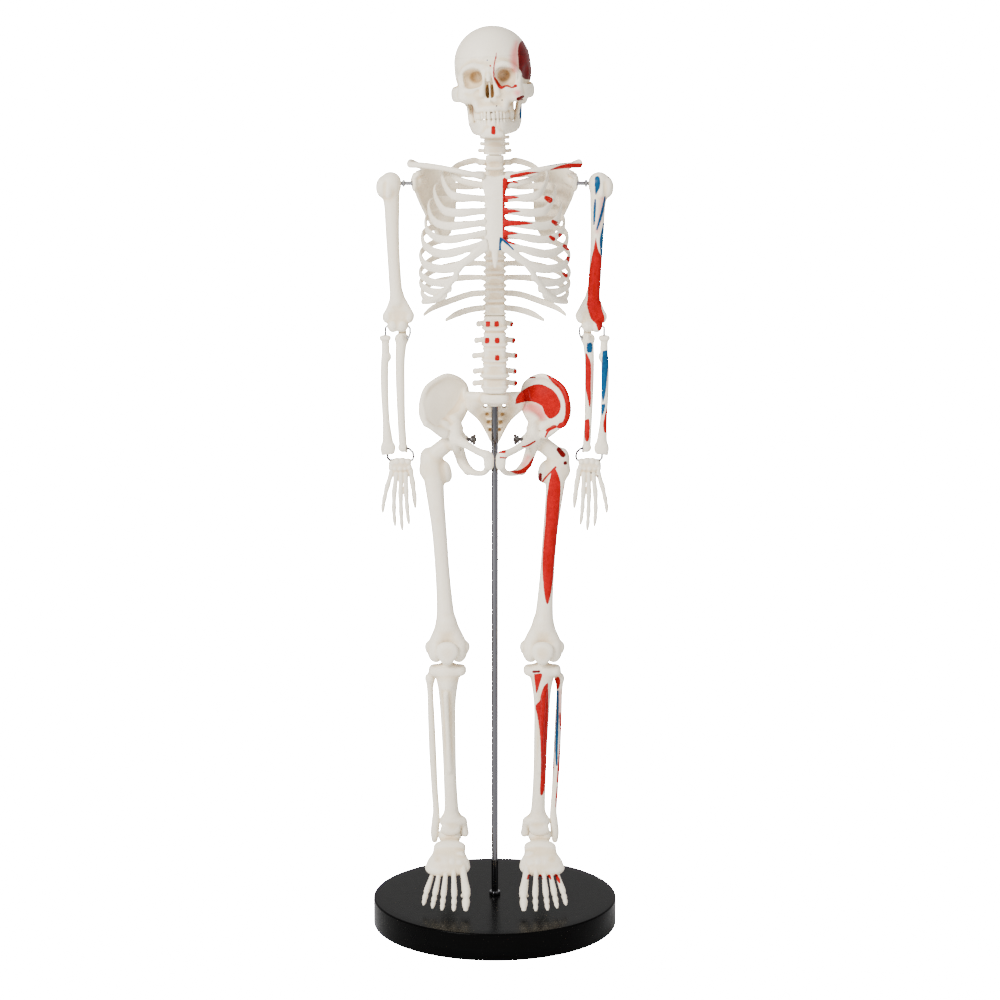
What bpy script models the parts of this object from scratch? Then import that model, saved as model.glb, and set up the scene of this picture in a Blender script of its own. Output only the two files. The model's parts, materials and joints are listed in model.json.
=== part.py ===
"""Half-size human skeleton teaching model on a pelvic-mounted rod stand.

Frame: +Z up, origin at the centre of the underside of the round base. The figure faces -Y, and its own left
side is at +X. Lengths inside the anatomy functions are written in millimetres and scaled by MM when used.
"""

import math

import bmesh
import bpy
from mathutils import Matrix, Vector

MM = 0.001

# Driving dimensions, in millimetres.
BASE_RADIUS = 116.0
BASE_HEIGHT = 26.0
ROD_RADIUS = 3.0
ROD_TOP = 516.0
CLEARANCE = 0.35            # gap between a pin and the bore it runs in
SKULL_CENTRE = (0.0, 1.0, 809.5)
SKULL_RADII = (35.0, 45.0, 37.5)
SKULL_WALL = 2.6
CAP_LEVEL = 819.0           # height of the saw line round the removable skull cap
JAW_AXIS = (0.0, -2.0, 786.0)
SHOULDER = (97.0, 3.0, 704.0)
ELBOW = (89.0, 4.0, 573.0)
WRIST = (88.0, -5.5, 448.5)
HIP = (37.0, 0.0, 467.0)
KNEE = (44.5, -14.0, 268.0)
ANKLE = (43.0, 6.0, 83.0)
HEAD_PIVOT = (0.0, 3.0, 777.0)
HEAD_TILT = math.radians(-3.4)     # the head leans to its right
HEAD_TURN = math.radians(-5)       # and looks a little that way
FOOT_DROP = math.radians(10)    # the feet hang with the toes pointing down by this angle
HIP_HEAD_RADIUS = 11.0
KNEE_RADIUS = 12.0
KNEE_TONGUE = 5.0           # width of the tongue of the shin bone between the two knuckles of the knee
ELBOW_RADIUS = 6.0
ELBOW_SIDES = (-7.4, 9.0)    # the roller of the upper arm, from the elbow centre
ANKLE_RADIUS = 8.0
PIN_RADIUS = 1.2            # the hinge wires and pins of the limbs

# Height (z) and depth (y) of the centre of the vertebral column, from the skull down to the tail bone.
SPINE_LINE = ((782, 3), (757, -1), (735, 3), (690, 14), (640, 18), (600, 10), (560, -2), (532, -5), (512, 0))
FIRST_RIB_LEVEL = 722.0
RIB_SPACING = (11.0, 0.1)       # the gaps between the ribs widen going down
RIB_RADIUS = 1.7            # a rib is a flat band: two such rods, side by side, fused
RIB_HALF_HEIGHT = 1.3
LUMBAR_LEVELS = (576.5, 562.5, 548.5, 534.5, 520)

# For each rib: its course from the widest point at the side round to the breastbone or the costal arch.
RIBS = (
    ((20, 14, 724), (32, 6, 721), (39, -8, 717), (39.5, -22, 713), (33, -32, 709.5), (22, -36, 706.5), (9, -36.5, 704.5)),
    ((47, -6, 713), (46.4, -25, 706.5), (40, -40, 697), (31, -44, 694.3), (20, -44.5, 693.5), (9, -42, 692.5)),
    ((54, -5, 700), (53.3, -22, 692), (46.4, -39, 682.5), (38, -45, 680.5), (28, -48, 680.5), (18, -48, 681.5),
     (8.6, -46, 682)),
    ((59.3, -4, 686), (59, -20, 678), (53.8, -34, 671), (44, -43, 668.3), (33.5, -49, 668.8), (22, -51, 670.3),
     (8.6, -49.5, 672)),
    ((62.4, -4, 673), (62.3, -20, 664.5), (58.3, -30, 660), (52.3, -38, 657), (44, -45, 656), (33.5, -50, 657.2),
     (22, -53, 660), (8.6, -52.5, 662.8)),
    ((65.3, -4, 659), (65.3, -17, 651), (60.4, -29, 646.8), (53.8, -37, 644), (44, -45, 643.4), (33.5, -51, 646),
     (22, -54, 649.5), (8, -55, 654.5)),
    ((67.8, -6, 641), (64.5, -22, 632.5), (56.6, -34, 630), (48.4, -42, 629.4), (39.8, -48, 630.4), (33.5, -51, 633),
     (26, -53.5, 637.5), (16, -55, 643.5), (7, -55.5, 650)),
    ((68.6, -10, 624), (61.5, -26, 618), (55, -34, 616.5), (48.4, -40, 616.4), (41.5, -45, 618), (34, -49.5, 623)),
    ((68.4, -10, 614), (60.5, -27, 608.6), (53.9, -33, 607.7), (46.4, -39, 608.8), (40, -43.5, 612)),
    ((67, -10, 606), (63, -20, 601), (57, -28, 600), (50, -35, 602.5), (44, -40, 606)),
)
# The lower edge of the costal arch, from the foot of the breastbone out to the tenth rib.
COSTAL_ARCH = ((8, -54.5, 652.5), (15, -54.5, 647.5), (23, -53.5, 640.5), (31, -51, 631), (37, -48, 622),
               (43, -43.5, 612.5), (50, -37, 604.5), (58, -28, 599.3), (65.5, -15, 597))

PARTS = bpy.data.collections.new("human_skeleton_model")
CUTTERS = bpy.data.collections.new("cutters")


# ---------------------------------------------------------------- modelling helpers

def clear_scene():
    for obj in list(bpy.data.objects):
        bpy.data.objects.remove(obj)
    bpy.context.scene.collection.children.link(PARTS)
    bpy.context.scene.collection.children.link(CUTTERS)


def material(name, colour, roughness, metallic=0.0):
    made = bpy.data.materials.new(name)
    made.use_nodes = True
    shader = made.node_tree.nodes["Principled BSDF"]
    shader.inputs["Base Color"].default_value = (*colour, 1.0)
    shader.inputs["Roughness"].default_value = roughness
    shader.inputs["Metallic"].default_value = metallic
    return made


def point(place):
    return Vector(place) * MM


def aim(start, end):
    """Matrix that carries the Z axis onto the line from start to end, at its middle."""
    along = end - start
    return Matrix.Translation((start + end) / 2) @ along.to_track_quat("Z", "X").to_matrix().to_4x4()


def smooth_line(places, steps):
    """Catmull-Rom curve through the places, with this many steps for each stretch."""
    pts = [Vector(p) for p in places]
    pts = [2 * pts[0] - pts[1]] + pts + [2 * pts[-1] - pts[-2]]
    line = []
    for i in range(1, len(pts) - 2):
        before, here, after, beyond = pts[i - 1:i + 3]
        for step in range(steps):
            t = step / steps
            line.append(0.5 * (2 * here + (after - before) * t
                               + (2 * before - 5 * here + 4 * after - beyond) * t ** 2
                               + (3 * here - before - 3 * after + beyond) * t ** 3))
    return line + [pts[-2]]


def unit_ball(around=14, rings=9):
    """Corners and faces of a unit sphere."""
    verts = [(0.0, 0.0, 1.0)]
    for ring in range(1, rings):
        level = math.pi * ring / rings
        verts += [(math.sin(level) * math.cos(a), math.sin(level) * math.sin(a), math.cos(level))
                  for a in (math.tau * i / around for i in range(around))]
    verts.append((0.0, 0.0, -1.0))
    faces = [(0, 1 + i, 1 + (i + 1) % around) for i in range(around)]
    for ring in range(rings - 2):
        first, second = 1 + ring * around, 1 + (ring + 1) * around
        for i in range(around):
            j = (i + 1) % around
            faces.append((first + i, second + i, second + j, first + j))
    last = len(verts) - 1
    faces += [(last, last - around + (i + 1) % around, last - around + i) for i in range(around)]
    return [Vector(v) for v in verts], faces


BALL_VERTS, BALL_FACES = unit_ball()


class Shape:
    """Closed primitives that overlap, gathered to be fused into one bone."""

    def __init__(self):
        self.verts = []
        self.faces = []

    def add(self, verts, faces):
        first = len(self.verts)
        self.verts += verts
        self.faces += [tuple(first + i for i in face) for face in faces]
        return self

    def ball(self, centre, radii):
        if not hasattr(radii, "__len__"):
            radii = (radii,) * 3
        return self.add([point((centre[0] + v.x * radii[0], centre[1] + v.y * radii[1], centre[2] + v.z * radii[2]))
                         for v in BALL_VERTS], BALL_FACES)

    def rod(self, start, end, radius, end_radius=None, sides=12):
        end_radius = radius if end_radius is None else end_radius
        a, b = point(start), point(end)
        place = aim(a, b)
        half = (b - a).length / 2
        verts = [place @ Vector((r * MM * math.cos(t), r * MM * math.sin(t), z))
                 for z, r in ((-half, radius), (half, end_radius))
                 for t in (math.tau * i / sides for i in range(sides))]
        faces = [(i, (i + 1) % sides, sides + (i + 1) % sides, sides + i) for i in range(sides)]
        faces += [tuple(reversed(range(sides))), tuple(range(sides, 2 * sides))]
        return self.add(verts, faces)

    def chain(self, places, radii, steps=0):
        """Round bars end to end, with a ball at each bend. radii is one number or one for each place."""
        if not hasattr(radii, "__len__"):
            radii = [radii] * len(places)
        if steps:
            rows = smooth_four([(*p, r) for p, r in zip(places, radii)], steps)
            places, radii = [row[:3] for row in rows], [row[3] for row in rows]
        for i, (place, radius) in enumerate(zip(places, radii)):
            self.ball(place, radius)
            if i:
                self.rod(places[i - 1], place, radii[i - 1], radius)
        return self

    def block(self, centre, sizes):
        corners = [Vector((x, y, z)) for x in (-0.5, 0.5) for y in (-0.5, 0.5) for z in (-0.5, 0.5)]
        verts = [point([c + v * s for c, v, s in zip(centre, corner, sizes)]) for corner in corners]
        return self.add(verts, [(0, 1, 3, 2), (4, 6, 7, 5), (0, 4, 5, 1), (2, 3, 7, 6), (0, 2, 6, 4), (1, 5, 7, 3)])

    def sheet(self, rows, thickness):
        """A curved plate through a net of points, as thick as thickness."""
        fine = [smooth_line(row, 3) for row in rows]
        columns = [smooth_line([row[i] for row in fine], 3) for i in range(len(fine[0]))]
        sheet = bmesh.new()
        net = [[sheet.verts.new(point(p)) for p in column] for column in columns]
        for left, right in zip(net, net[1:]):
            for i in range(len(left) - 1):
                sheet.faces.new((left[i], left[i + 1], right[i + 1], right[i]))
        bmesh.ops.recalc_face_normals(sheet, faces=sheet.faces)
        thicken(sheet, thickness)
        return self.join(sheet)

    def bowl(self, centre, radii, low, high, wall):
        """The wall of an ellipsoid between two heights, open where it is cut."""
        shell = bmesh.new()
        bmesh.ops.create_uvsphere(shell, u_segments=24, v_segments=16, radius=1.0,
                                  matrix=Matrix.LocRotScale(point(centre), None, Vector(radii) * MM))
        for level, normal in ((low, (0, 0, -1)), (high, (0, 0, 1))):
            bmesh.ops.bisect_plane(shell, geom=shell.verts[:] + shell.edges[:] + shell.faces[:], dist=1e-6,
                                   plane_co=(0, 0, level * MM), plane_no=normal, clear_outer=True)
        thicken(shell, wall, inward=True)
        return self.join(shell)

    def join(self, bm):
        bm.verts.index_update()
        self.add([v.co.copy() for v in bm.verts], [tuple(v.index for v in face.verts) for face in bm.faces])
        bm.free()
        return self

    def tilt(self, place, angle):
        """Turns what was drawn round the origin about X, then moves it to its place."""
        spin = Matrix.Translation(point(place)) @ Matrix.Rotation(angle, 4, "X")
        self.verts = [spin @ v for v in self.verts]
        return self

    def mesh(self, name):
        made = bpy.data.meshes.new(name)
        made.from_pydata([tuple(v) for v in self.verts], [], self.faces)
        made.update()
        return made


def smooth_four(rows, steps):
    """smooth_line for rows of four numbers, a place and a radius."""
    places = smooth_line([row[:3] for row in rows], steps)
    radii = smooth_line([(row[3], 0, 0) for row in rows], steps)
    return [(*p, r.x) for p, r in zip(places, radii)]


def thicken(surface, thickness, inward=False):
    """Turns an open surface into a closed plate, centred on it or lying inside it."""
    surface.normal_update()
    surface.verts.index_update()
    outer = 0.0 if inward else thickness * MM / 2
    faces = [list(face.verts) for face in surface.faces]
    rims = [(edge.link_loops[0].vert, edge.link_loops[0].link_loop_next.vert)
            for edge in surface.edges if len(edge.link_faces) == 1]
    first = list(surface.verts)
    twins = [surface.verts.new(vert.co + vert.normal * (outer - thickness * MM)) for vert in first]
    for vert in first:
        vert.co += vert.normal * outer
    for face in faces:
        surface.faces.new([twins[vert.index] for vert in reversed(face)])
    for start, end in rims:
        surface.faces.new((end, start, twins[start.index], twins[end.index]))


def bake(obj):
    """Replaces the object's mesh by what its modifiers make of it."""
    graph = bpy.context.evaluated_depsgraph_get()
    graph.update()
    made = bpy.data.meshes.new_from_object(obj.evaluated_get(graph))
    obj.modifiers.clear()
    old, obj.data = obj.data, made
    bpy.data.meshes.remove(old)
    made.name = obj.name


def fuse(name, shape, voxel, triangles, smooth=3):
    """One closed bone from overlapping primitives: voxel remesh, smooth, then thin out the mesh."""
    obj = as_object(name, shape)
    remesh = obj.modifiers.new("fuse", "REMESH")
    remesh.mode = "VOXEL"
    remesh.voxel_size = voxel * MM
    relax = obj.modifiers.new("relax", "SMOOTH")
    relax.factor = 0.5
    relax.iterations = smooth
    bake(obj)
    thin = obj.modifiers.new("thin", "DECIMATE")
    thin.ratio = triangles / (2 * len(obj.data.polygons))
    bake(obj)
    return obj


def as_object(name, shape, collection=None):
    obj = bpy.data.objects.new(name, shape.mesh(name))
    (collection or PARTS).objects.link(obj)
    return obj


def turned(name, profile, steps=24, place=None):
    """A turned solid: the profile's (radius, height) points swept round Z by a Screw modifier.

    With a place, the solid is laid along X through that place and the heights become distances along X.
    """
    closed = profile[0] == profile[-1]
    bm = bmesh.new()
    verts = [bm.verts.new((r * MM, 0, z * MM)) for r, z in (profile[:-1] if closed else profile)]
    for a, b in zip(verts, verts[1:] + verts[:closed]):
        bm.edges.new((a, b))
    made = bpy.data.meshes.new(name)
    bm.to_mesh(made)
    bm.free()
    obj = bpy.data.objects.new(name, made)
    PARTS.objects.link(obj)
    screw = obj.modifiers.new("turn", "SCREW")
    screw.steps = screw.render_steps = steps
    screw.use_merge_vertices = True
    screw.merge_threshold = 0.00005
    screw.use_smooth_shade = False
    bake(obj)
    if place:
        obj.data.transform(Matrix.Translation((0, place[1] * MM, place[2] * MM)) @ Matrix.Rotation(math.pi / 2, 4, "Y"))
    face_out(obj)
    return obj


def face_out(obj):
    bm = bmesh.new()
    bm.from_mesh(obj.data)
    bmesh.ops.recalc_face_normals(bm, faces=bm.faces)
    bm.to_mesh(obj.data)
    bm.free()


def wire(name, places, radius, collection=None):
    """A bent metal wire: a curve with a round section and filled caps, turned into a mesh."""
    curve = bpy.data.curves.new(name, "CURVE")
    curve.dimensions = "3D"
    curve.bevel_depth = radius * MM
    curve.bevel_resolution = 1
    curve.use_fill_caps = True
    spline = curve.splines.new("POLY")
    spline.points.add(len(places) - 1)
    for spot, place in zip(spline.points, places):
        spot.co = (*point(place), 1.0)
    guide = bpy.data.objects.new(name, curve)
    PARTS.objects.link(guide)
    made = bpy.data.meshes.new_from_object(guide.evaluated_get(bpy.context.evaluated_depsgraph_get()))
    bpy.data.objects.remove(guide)
    obj = bpy.data.objects.new(name, made)
    (collection or PARTS).objects.link(obj)
    bm = bmesh.new()
    bm.from_mesh(made)
    bmesh.ops.remove_doubles(bm, verts=bm.verts, dist=1e-6)
    bmesh.ops.recalc_face_normals(bm, faces=bm.faces)
    bm.to_mesh(made)
    bm.free()
    return obj


def cut(obj, cutter):
    """Takes a shape or a helper object away from the object, and keeps the largest piece that is left."""
    if isinstance(cutter, Shape):
        cutter = as_object(obj.name + "_cutter", cutter, CUTTERS)
    cutter.hide_render = True
    cutter.display_type = "WIRE"
    hole = obj.modifiers.new("cut", "BOOLEAN")
    hole.operation = "DIFFERENCE"
    hole.solver = "EXACT"
    hole.use_self = True
    hole.object = cutter
    bake(obj)
    bpy.data.objects.remove(cutter)
    keep_largest(obj)


def keep_largest(obj):
    """Drops the slivers that a cut can leave beside the main piece, and those that only touch it at an edge."""
    bm = bmesh.new()
    bm.from_mesh(obj.data)
    bmesh.ops.remove_doubles(bm, verts=bm.verts, dist=2e-6)
    bmesh.ops.dissolve_degenerate(bm, edges=bm.edges, dist=2e-6)
    groups, seen = [], set()
    for start in bm.faces:
        if start in seen:
            continue
        group, waiting = [], [start]
        seen.add(start)
        while waiting:
            face = waiting.pop()
            group.append(face)
            for edge in face.edges:
                if len(edge.link_faces) == 2:
                    for other in edge.link_faces:
                        if other not in seen:
                            seen.add(other)
                            waiting.append(other)
        groups.append(group)
    groups.sort(key=len)
    for group in groups[:-1]:
        bmesh.ops.delete(bm, geom=group, context="FACES")
    bm.to_mesh(obj.data)
    bm.free()


def keep_clear(obj, neighbour, gap=0.35):
    """Cuts the neighbour, grown by the gap, out of the object, so that the two only almost touch."""
    grown = bpy.data.objects.new(neighbour.name + "_grown", neighbour.data.copy())
    CUTTERS.objects.link(grown)
    for vert, normal in zip(grown.data.vertices, [v.normal.copy() for v in neighbour.data.vertices]):
        vert.co += normal * gap * MM
    cut(obj, grown)


def mirrored(obj, name):
    """The same piece for the figure's right side."""
    made = obj.data.copy()
    made.transform(Matrix.Scale(-1, 4, (1, 0, 0)))
    made.flip_normals()
    twin = bpy.data.objects.new(name, made)
    PARTS.objects.link(twin)
    return twin


# ---------------------------------------------------------------- places worked out from the driving dimensions

def spine_depth(height):
    for (top, near), (bottom, far) in zip(SPINE_LINE, SPINE_LINE[1:]):
        if height >= bottom:
            share = min(1.0, (top - height) / (top - bottom))
            return near + (far - near) * share * share * (3 - 2 * share)
    return SPINE_LINE[-1][1]


def rib_level(number):
    """Height of a rib where it leaves the column."""
    below = number - 1
    return FIRST_RIB_LEVEL - RIB_SPACING[0] * below - RIB_SPACING[1] * below ** 2


def sternum_depth(height):
    """Depth of the breastbone, which slopes forward going down."""
    return -34.5 - 20 * (712 - height) / 64


def beside(place, sideways):
    return (place[0] + sideways, place[1], place[2])


def axle(centre, half, radius, sides=12):
    """A straight bar along X, centred on a joint."""
    return Shape().rod(beside(centre, -half), beside(centre, half), radius, sides=sides)


# ---------------------------------------------------------------- the stand

def base_disc():
    rim, level = BASE_RADIUS, BASE_HEIGHT
    base = turned("base_disc", (
        (0, level), (rim - 22, level), (rim - 20, level - 0.8), (rim - 3, level - 1.2), (rim, level - 4),
        (rim, 0), (rim - 8, 0), (rim - 8, 3), (0, 3)), steps=96)
    cut(base, Shape().rod((0, 0, -1), (0, 0, level + 1), ROD_RADIUS + CLEARANCE, sides=20))
    return base


def support_rod():
    return as_object("support_rod", Shape().rod((0, 0, 3.6), (0, 0, ROD_TOP), ROD_RADIUS, sides=14))


def rod_collar():
    bore, foot = ROD_RADIUS + CLEARANCE, BASE_HEIGHT + 0.3
    return turned("rod_collar", ((bore, foot + 4), (5.2, foot + 4), (6.0, foot + 3.2), (6.0, foot), (bore, foot),
                                 (bore, foot + 4)), steps=16)


def rod_bolt():
    """Screw head under the base that holds the rod."""
    return turned("rod_bolt", ((0, 2.7), (9.0, 2.7), (9.0, 1.6), (5.5, 1.6), (5.0, 0.5), (0, 0.5)), steps=12)


# ---------------------------------------------------------------- the skull

def skull_cap():
    top = SKULL_CENTRE[2] + SKULL_RADII[2] + 1
    cap = as_object("skull_cap", Shape().bowl(SKULL_CENTRE, SKULL_RADII, CAP_LEVEL - 6, top, SKULL_WALL))
    cut(cap, Shape().block((0, 0, CAP_LEVEL + 0.2 - 20), (120, 140, 40)))
    return cap


def skull_base():
    """Lower braincase, face, cheek arches and upper teeth."""
    shape = Shape()
    low = 780
    shape.bowl(SKULL_CENTRE, SKULL_RADII, low, CAP_LEVEL + 4, SKULL_WALL)
    shape.ball((0, 14, low + 1), (24, 24, 4)).ball((0, -14, low + 4), (20, 18, 5))
    for side in (-1, 1):
        shape.ball((side * 15, -37, 807), (13, 8, 5))
        shape.chain([(side * 29, -32, 803), (side * 28, -34, 790)], [4, 4])
        shape.chain([(side * 26, -36, 788), (side * 33, -26, 787), (side * 35.5, -13, 788), (side * 31, 1, 789)],
                    [5, 4.2, 3.2, 3.2], steps=2)
        shape.chain([(side * 16, -38, 787), (side * 26, -35, 787)], [4.5, 5])
        shape.ball((side * 25, 12, 783), (5, 6, 9))
        shape.chain([(side * 5, -44, 799), (side * 9, -43, 784)], [3, 4])
        shape.ball((side * 13, -30, 780), (9, 12, 8))
    shape.chain([(0, -45, 804), (0, -47, 794)], [4, 2.8])
    shape.ball((0, -31, 773), (17, 15, 8)).ball((0, -12, 783), (14, 14, 5))
    base = fuse("skull_base", shape, 1.3, 900, smooth=2)
    cut(base, Shape().block((0, 0, CAP_LEVEL - 0.2 + 20), (120, 140, 40)))
    for side in (-1, 1):
        cut(base, Shape().ball((side * 15.5, -43, 798.5), (9, 12, 8.5)))
    cut(base, Shape().ball((0, -48, 786), (5, 8, 8)))
    cut(base, Shape().rod((0, 3, 770), (0, 3, 784), 3.4, sides=16))
    return base


def mandible(skull):
    shape = Shape()
    for side in (-1, 1):
        shape.chain([(side * 25, -3, 781), (side * 24.5, 0, 771), (side * 23.5, -2, 760), (side * 19, -17, 755),
                     (side * 12, -34, 752), (0, -41, 752)], [2.8, 3.4, 4.4, 4.4, 4.8, 5.0], steps=2)
        shape.chain([(side * 24, -12, 778), (side * 23, -10, 766)], [2.0, 4])
        shape.chain([(side * 18.5, -17, 760), (side * 13, -33, 759), (0, -41, 759)], [3.0, 3.0, 3.0], steps=2)
    jaw = fuse("mandible", shape, 1.1, 420)
    keep_clear(jaw, skull, 0.6)
    return jaw


def pose_head(bones):
    """Leans and turns the skull, its cap and the jaw on the top of the neck."""
    lean = Matrix.Rotation(HEAD_TURN, 4, "Z") @ Matrix.Rotation(HEAD_TILT, 4, "Y")
    for bone in bones:
        bone.data.transform(Matrix.Translation(point(HEAD_PIVOT)) @ lean @ Matrix.Translation(-point(HEAD_PIVOT)))


# ---------------------------------------------------------------- the vertebral column

def vertebra(shape, height, body, span, spine):
    """One vertebra: body (half width, half depth, half height), half span of its wings, length of its spine."""
    depth = spine_depth(height)
    shape.ball((0, depth, height), (body[0], body[1], body[2] * 1.5))
    for side in (-1, 1):
        shape.chain([(side * 5, depth + body[1], height + 1), (side * span, depth + body[1] + 3, height + 1)],
                    [2.6, 2.0])
    shape.chain([(0, depth + body[1], height), (0, depth + body[1] + spine, height - spine * 0.5)], [3.4, 1.8])


def column(shape, top, bottom, width, depth):
    """The stacked bodies and discs of a stretch of the column, as one round bar that follows its curve."""
    steps = 6
    rise = (top - bottom) / steps
    for i in range(steps):
        height = top - (i + 0.5) * rise
        shape.ball((0, spine_depth(height), height), (width, depth, rise * 0.95))


def between(obj, top, bottom):
    """Saws a piece off level at the top and the bottom."""
    if top:
        cut(obj, Shape().block((0, 0, top + 30), (120, 120, 60)))
    if bottom:
        cut(obj, Shape().block((0, 0, bottom - 30), (120, 120, 60)))
    return obj


def cervical_spine(skull):
    shape = Shape()
    top, bottom = 774, 733
    column(shape, top - 1, bottom + 3, 8.5, 7)
    for i in range(7):
        height = top - i * (top - bottom) / 6
        vertebra(shape, height, (8, 6.5, 2.8), 12 if i else 14, 9 if i < 6 else 13)
    neck = fuse("cervical_spine", shape, 1.2, 340)
    keep_clear(neck, skull, 0.6)
    return between(neck, 776.2, 730.1)


def thoracic_spine():
    shape = Shape()
    column(shape, 724, 588, 8.6, 8)
    for number in range(1, 13):
        size = 7.6 + 0.12 * number
        vertebra(shape, rib_level(number), (size, size * 0.9, 4.5), 15 - 0.4 * number, 13)
    return between(fuse("thoracic_spine", shape, 1.3, 560), 729.6, 583)


def lumbar_spine():
    shape = Shape()
    column(shape, 584, 512, 10.6, 9)
    for height in LUMBAR_LEVELS:
        vertebra(shape, height, (11, 9.5, 5), 20, 13)
    spine = between(fuse("lumbar_spine", shape, 1.3, 400), 582.6, 511)
    cut(spine, rod_bore())
    return spine


def rod_bore():
    return Shape().rod((0, 0, 470), (0, 0, ROD_TOP + 0.6), ROD_RADIUS + CLEARANCE + 0.1, sides=20)


def sacrum():
    """The wedge at the back of the pelvis, with the boss under its front edge that takes the support rod."""
    shape = Shape()
    for centre, radii in (((0, 0, 506), (14, 10, 8)), ((0, 9, 498), (16, 10, 11)), ((0, 17, 485), (13, 7, 12)),
                          ((0, 23, 472), (9, 5, 10))):
        shape.ball(centre, radii)
    shape.chain([(0, 24, 465), (0, 23, 456), (0, 18, 449)], [4.5, 3.2, 2.0])
    shape.rod((0, 0, 497), (0, 0, 508), 7.5)
    for side in (-1, 1):
        shape.chain([(side * 8, 8, 503), (side * 19, 14, 498)], [8, 7])
        shape.chain([(side * 18, 16, 497), (side * 13, 20, 481)], [6, 4])
    shape.chain([(0, 16, 500), (0, 25, 484)], [4, 3])
    bone = between(fuse("sacrum_and_coccyx", shape, 1.3, 360), 510.5, None)
    cut(bone, rod_bore())
    return bone


# ---------------------------------------------------------------- the rib cage

def sternum():
    shape = Shape()
    for top, bottom, width in ((710, 702, 10.2), (696, 680, 6.6), (676, 662, 7.2), (660, 652, 6.8)):
        for height in (top, bottom):
            shape.ball((0, sternum_depth(height) - 1.5, height), (width, 3.0, 5.5))
        for across in (-width / 3, width / 3):
            shape.chain([(across, sternum_depth(h) - 1.5, h) for h in (top, bottom)], 3)
    shape.chain([(0, -36, 706), (0, -52, 652)], 2.8).chain([(0, -54, 650), (0, -55, 632)], [3.2, 1.6])
    return fuse("sternum", shape, 1.2, 240)


def rib_path(number):
    """Head at the vertebra, angle at the back, then the course round the side to the front."""
    front = RIBS[number - 1]
    wide, side_level = front[0][0], front[0][2]
    level = rib_level(number)
    back = spine_depth(level)
    head = [(10.5, back + 8, level + 1)]
    if number > 1:
        head += [(wide * 0.45, back + 15, level), (wide * 0.83, back + 8, (level + side_level) / 2)]
    return head + list(front)


def rib_cage_half(spine, breastbone):
    """The ten upper ribs of one side, moulded with their cartilages and the strip glued to the breastbone."""
    shape = Shape()
    for number in range(1, 11):
        for lift in (-RIB_HALF_HEIGHT, RIB_HALF_HEIGHT):
            shape.chain([(x, y, z + lift) for x, y, z in rib_path(number)], RIB_RADIUS, steps=3)
    shape.chain(list(COSTAL_ARCH), 2.5, steps=2)
    shape.chain([(9.0, sternum_depth(h) - 1, h) for h in (704, 690, 676, 662, 652)], 1.9)
    half = fuse("rib_cage_left", shape, 1.2, 1250, smooth=1)
    keep_clear(half, breastbone)
    keep_clear(half, spine)
    return half


def floating_rib(number, spine):
    level = rib_level(number)
    back = spine_depth(level)
    tip = {11: (65, 0, 583), 12: (45, 15, 577)}[number]
    middle = ((tip[0] + 12) * 0.55, back + 14 - (4 if number == 11 else 0), (level + tip[2]) / 2 + 1)
    shape = Shape().chain([(10.5, back + 8, level), middle, tip], [2.1, 2.3, 1.5], steps=3)
    rib = fuse("floating_rib_%d_left" % number, shape, 1.0, 90)
    keep_clear(rib, spine)
    return rib


# ---------------------------------------------------------------- the shoulder girdle

def clavicle(breastbone, ribs):
    shape = Shape().chain([(14.5, -37, 713), (30, -41, 717), (50, -32, 720), (66, -20, 721), (78, -11, 721)],
                          [3.4, 2.6, 2.4, 2.6, 3.0], steps=2)
    bone = fuse("clavicle_left", shape, 1.1, 150)
    keep_clear(bone, breastbone)
    keep_clear(bone, ribs)
    return bone


def scapula(ribs, collar_bone):
    """Shoulder blade: a thin triangular plate behind the ribs, its spine, acromion, coracoid and socket."""
    shape = Shape()
    shape.sheet([[(72, 12, 712), (57, 29, 716), (38, 38, 714)],
                 [(73, 13, 700), (57, 32, 702), (37, 42, 698)],
                 [(67, 25, 680), (54, 37, 682), (38, 44, 678)],
                 [(53, 38, 656), (47, 41, 655), (41, 43, 655)]], 2.8)
    shape.chain([(40, 43, 703), (58, 36, 712), (70, 26, 719), (77.5, 14, 721.5), (78.5, 4, 721)],
                [1.8, 2.2, 2.6, 3.0, 2.4], steps=3)
    shape.ball((73, 6, 705), (4.5, 6.5, 9.5)).chain([(71, 10, 707), (66, 17, 706)], [6, 4])
    shape.chain([(69, 5, 714), (68, -8, 714), (74, -14, 710)], [3, 2.6, 2.2])
    shape.chain([(72, 14, 700), (67, 26, 680), (53, 38, 656)], [2.4, 2.2, 2.2], steps=2)
    shape.chain([(38, 39, 712), (37, 43, 697), (38, 45, 677), (44, 43, 655)], 1.9, steps=2)
    bone = fuse("scapula_left", shape, 1.2, 420, smooth=1)
    keep_clear(bone, collar_bone, 0.5)
    keep_clear(bone, ribs)
    cut(bone, Shape().rod(beside(SHOULDER, -45), beside(SHOULDER, 0), 2.2 + CLEARANCE))
    return bone


def shoulder_pin():
    """Steel pin that the arm swings on, with a collar against the socket."""
    x = SHOULDER[0]
    return turned("shoulder_pin_left", (
        (0, x + 5), (2.2, x + 5), (2.2, x - 12.5), (3.4, x - 12.5), (3.4, x - 18), (2.2, x - 18),
        (2.2, x - 31), (0, x - 31)), steps=10, place=SHOULDER)


# ---------------------------------------------------------------- the arm

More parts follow.
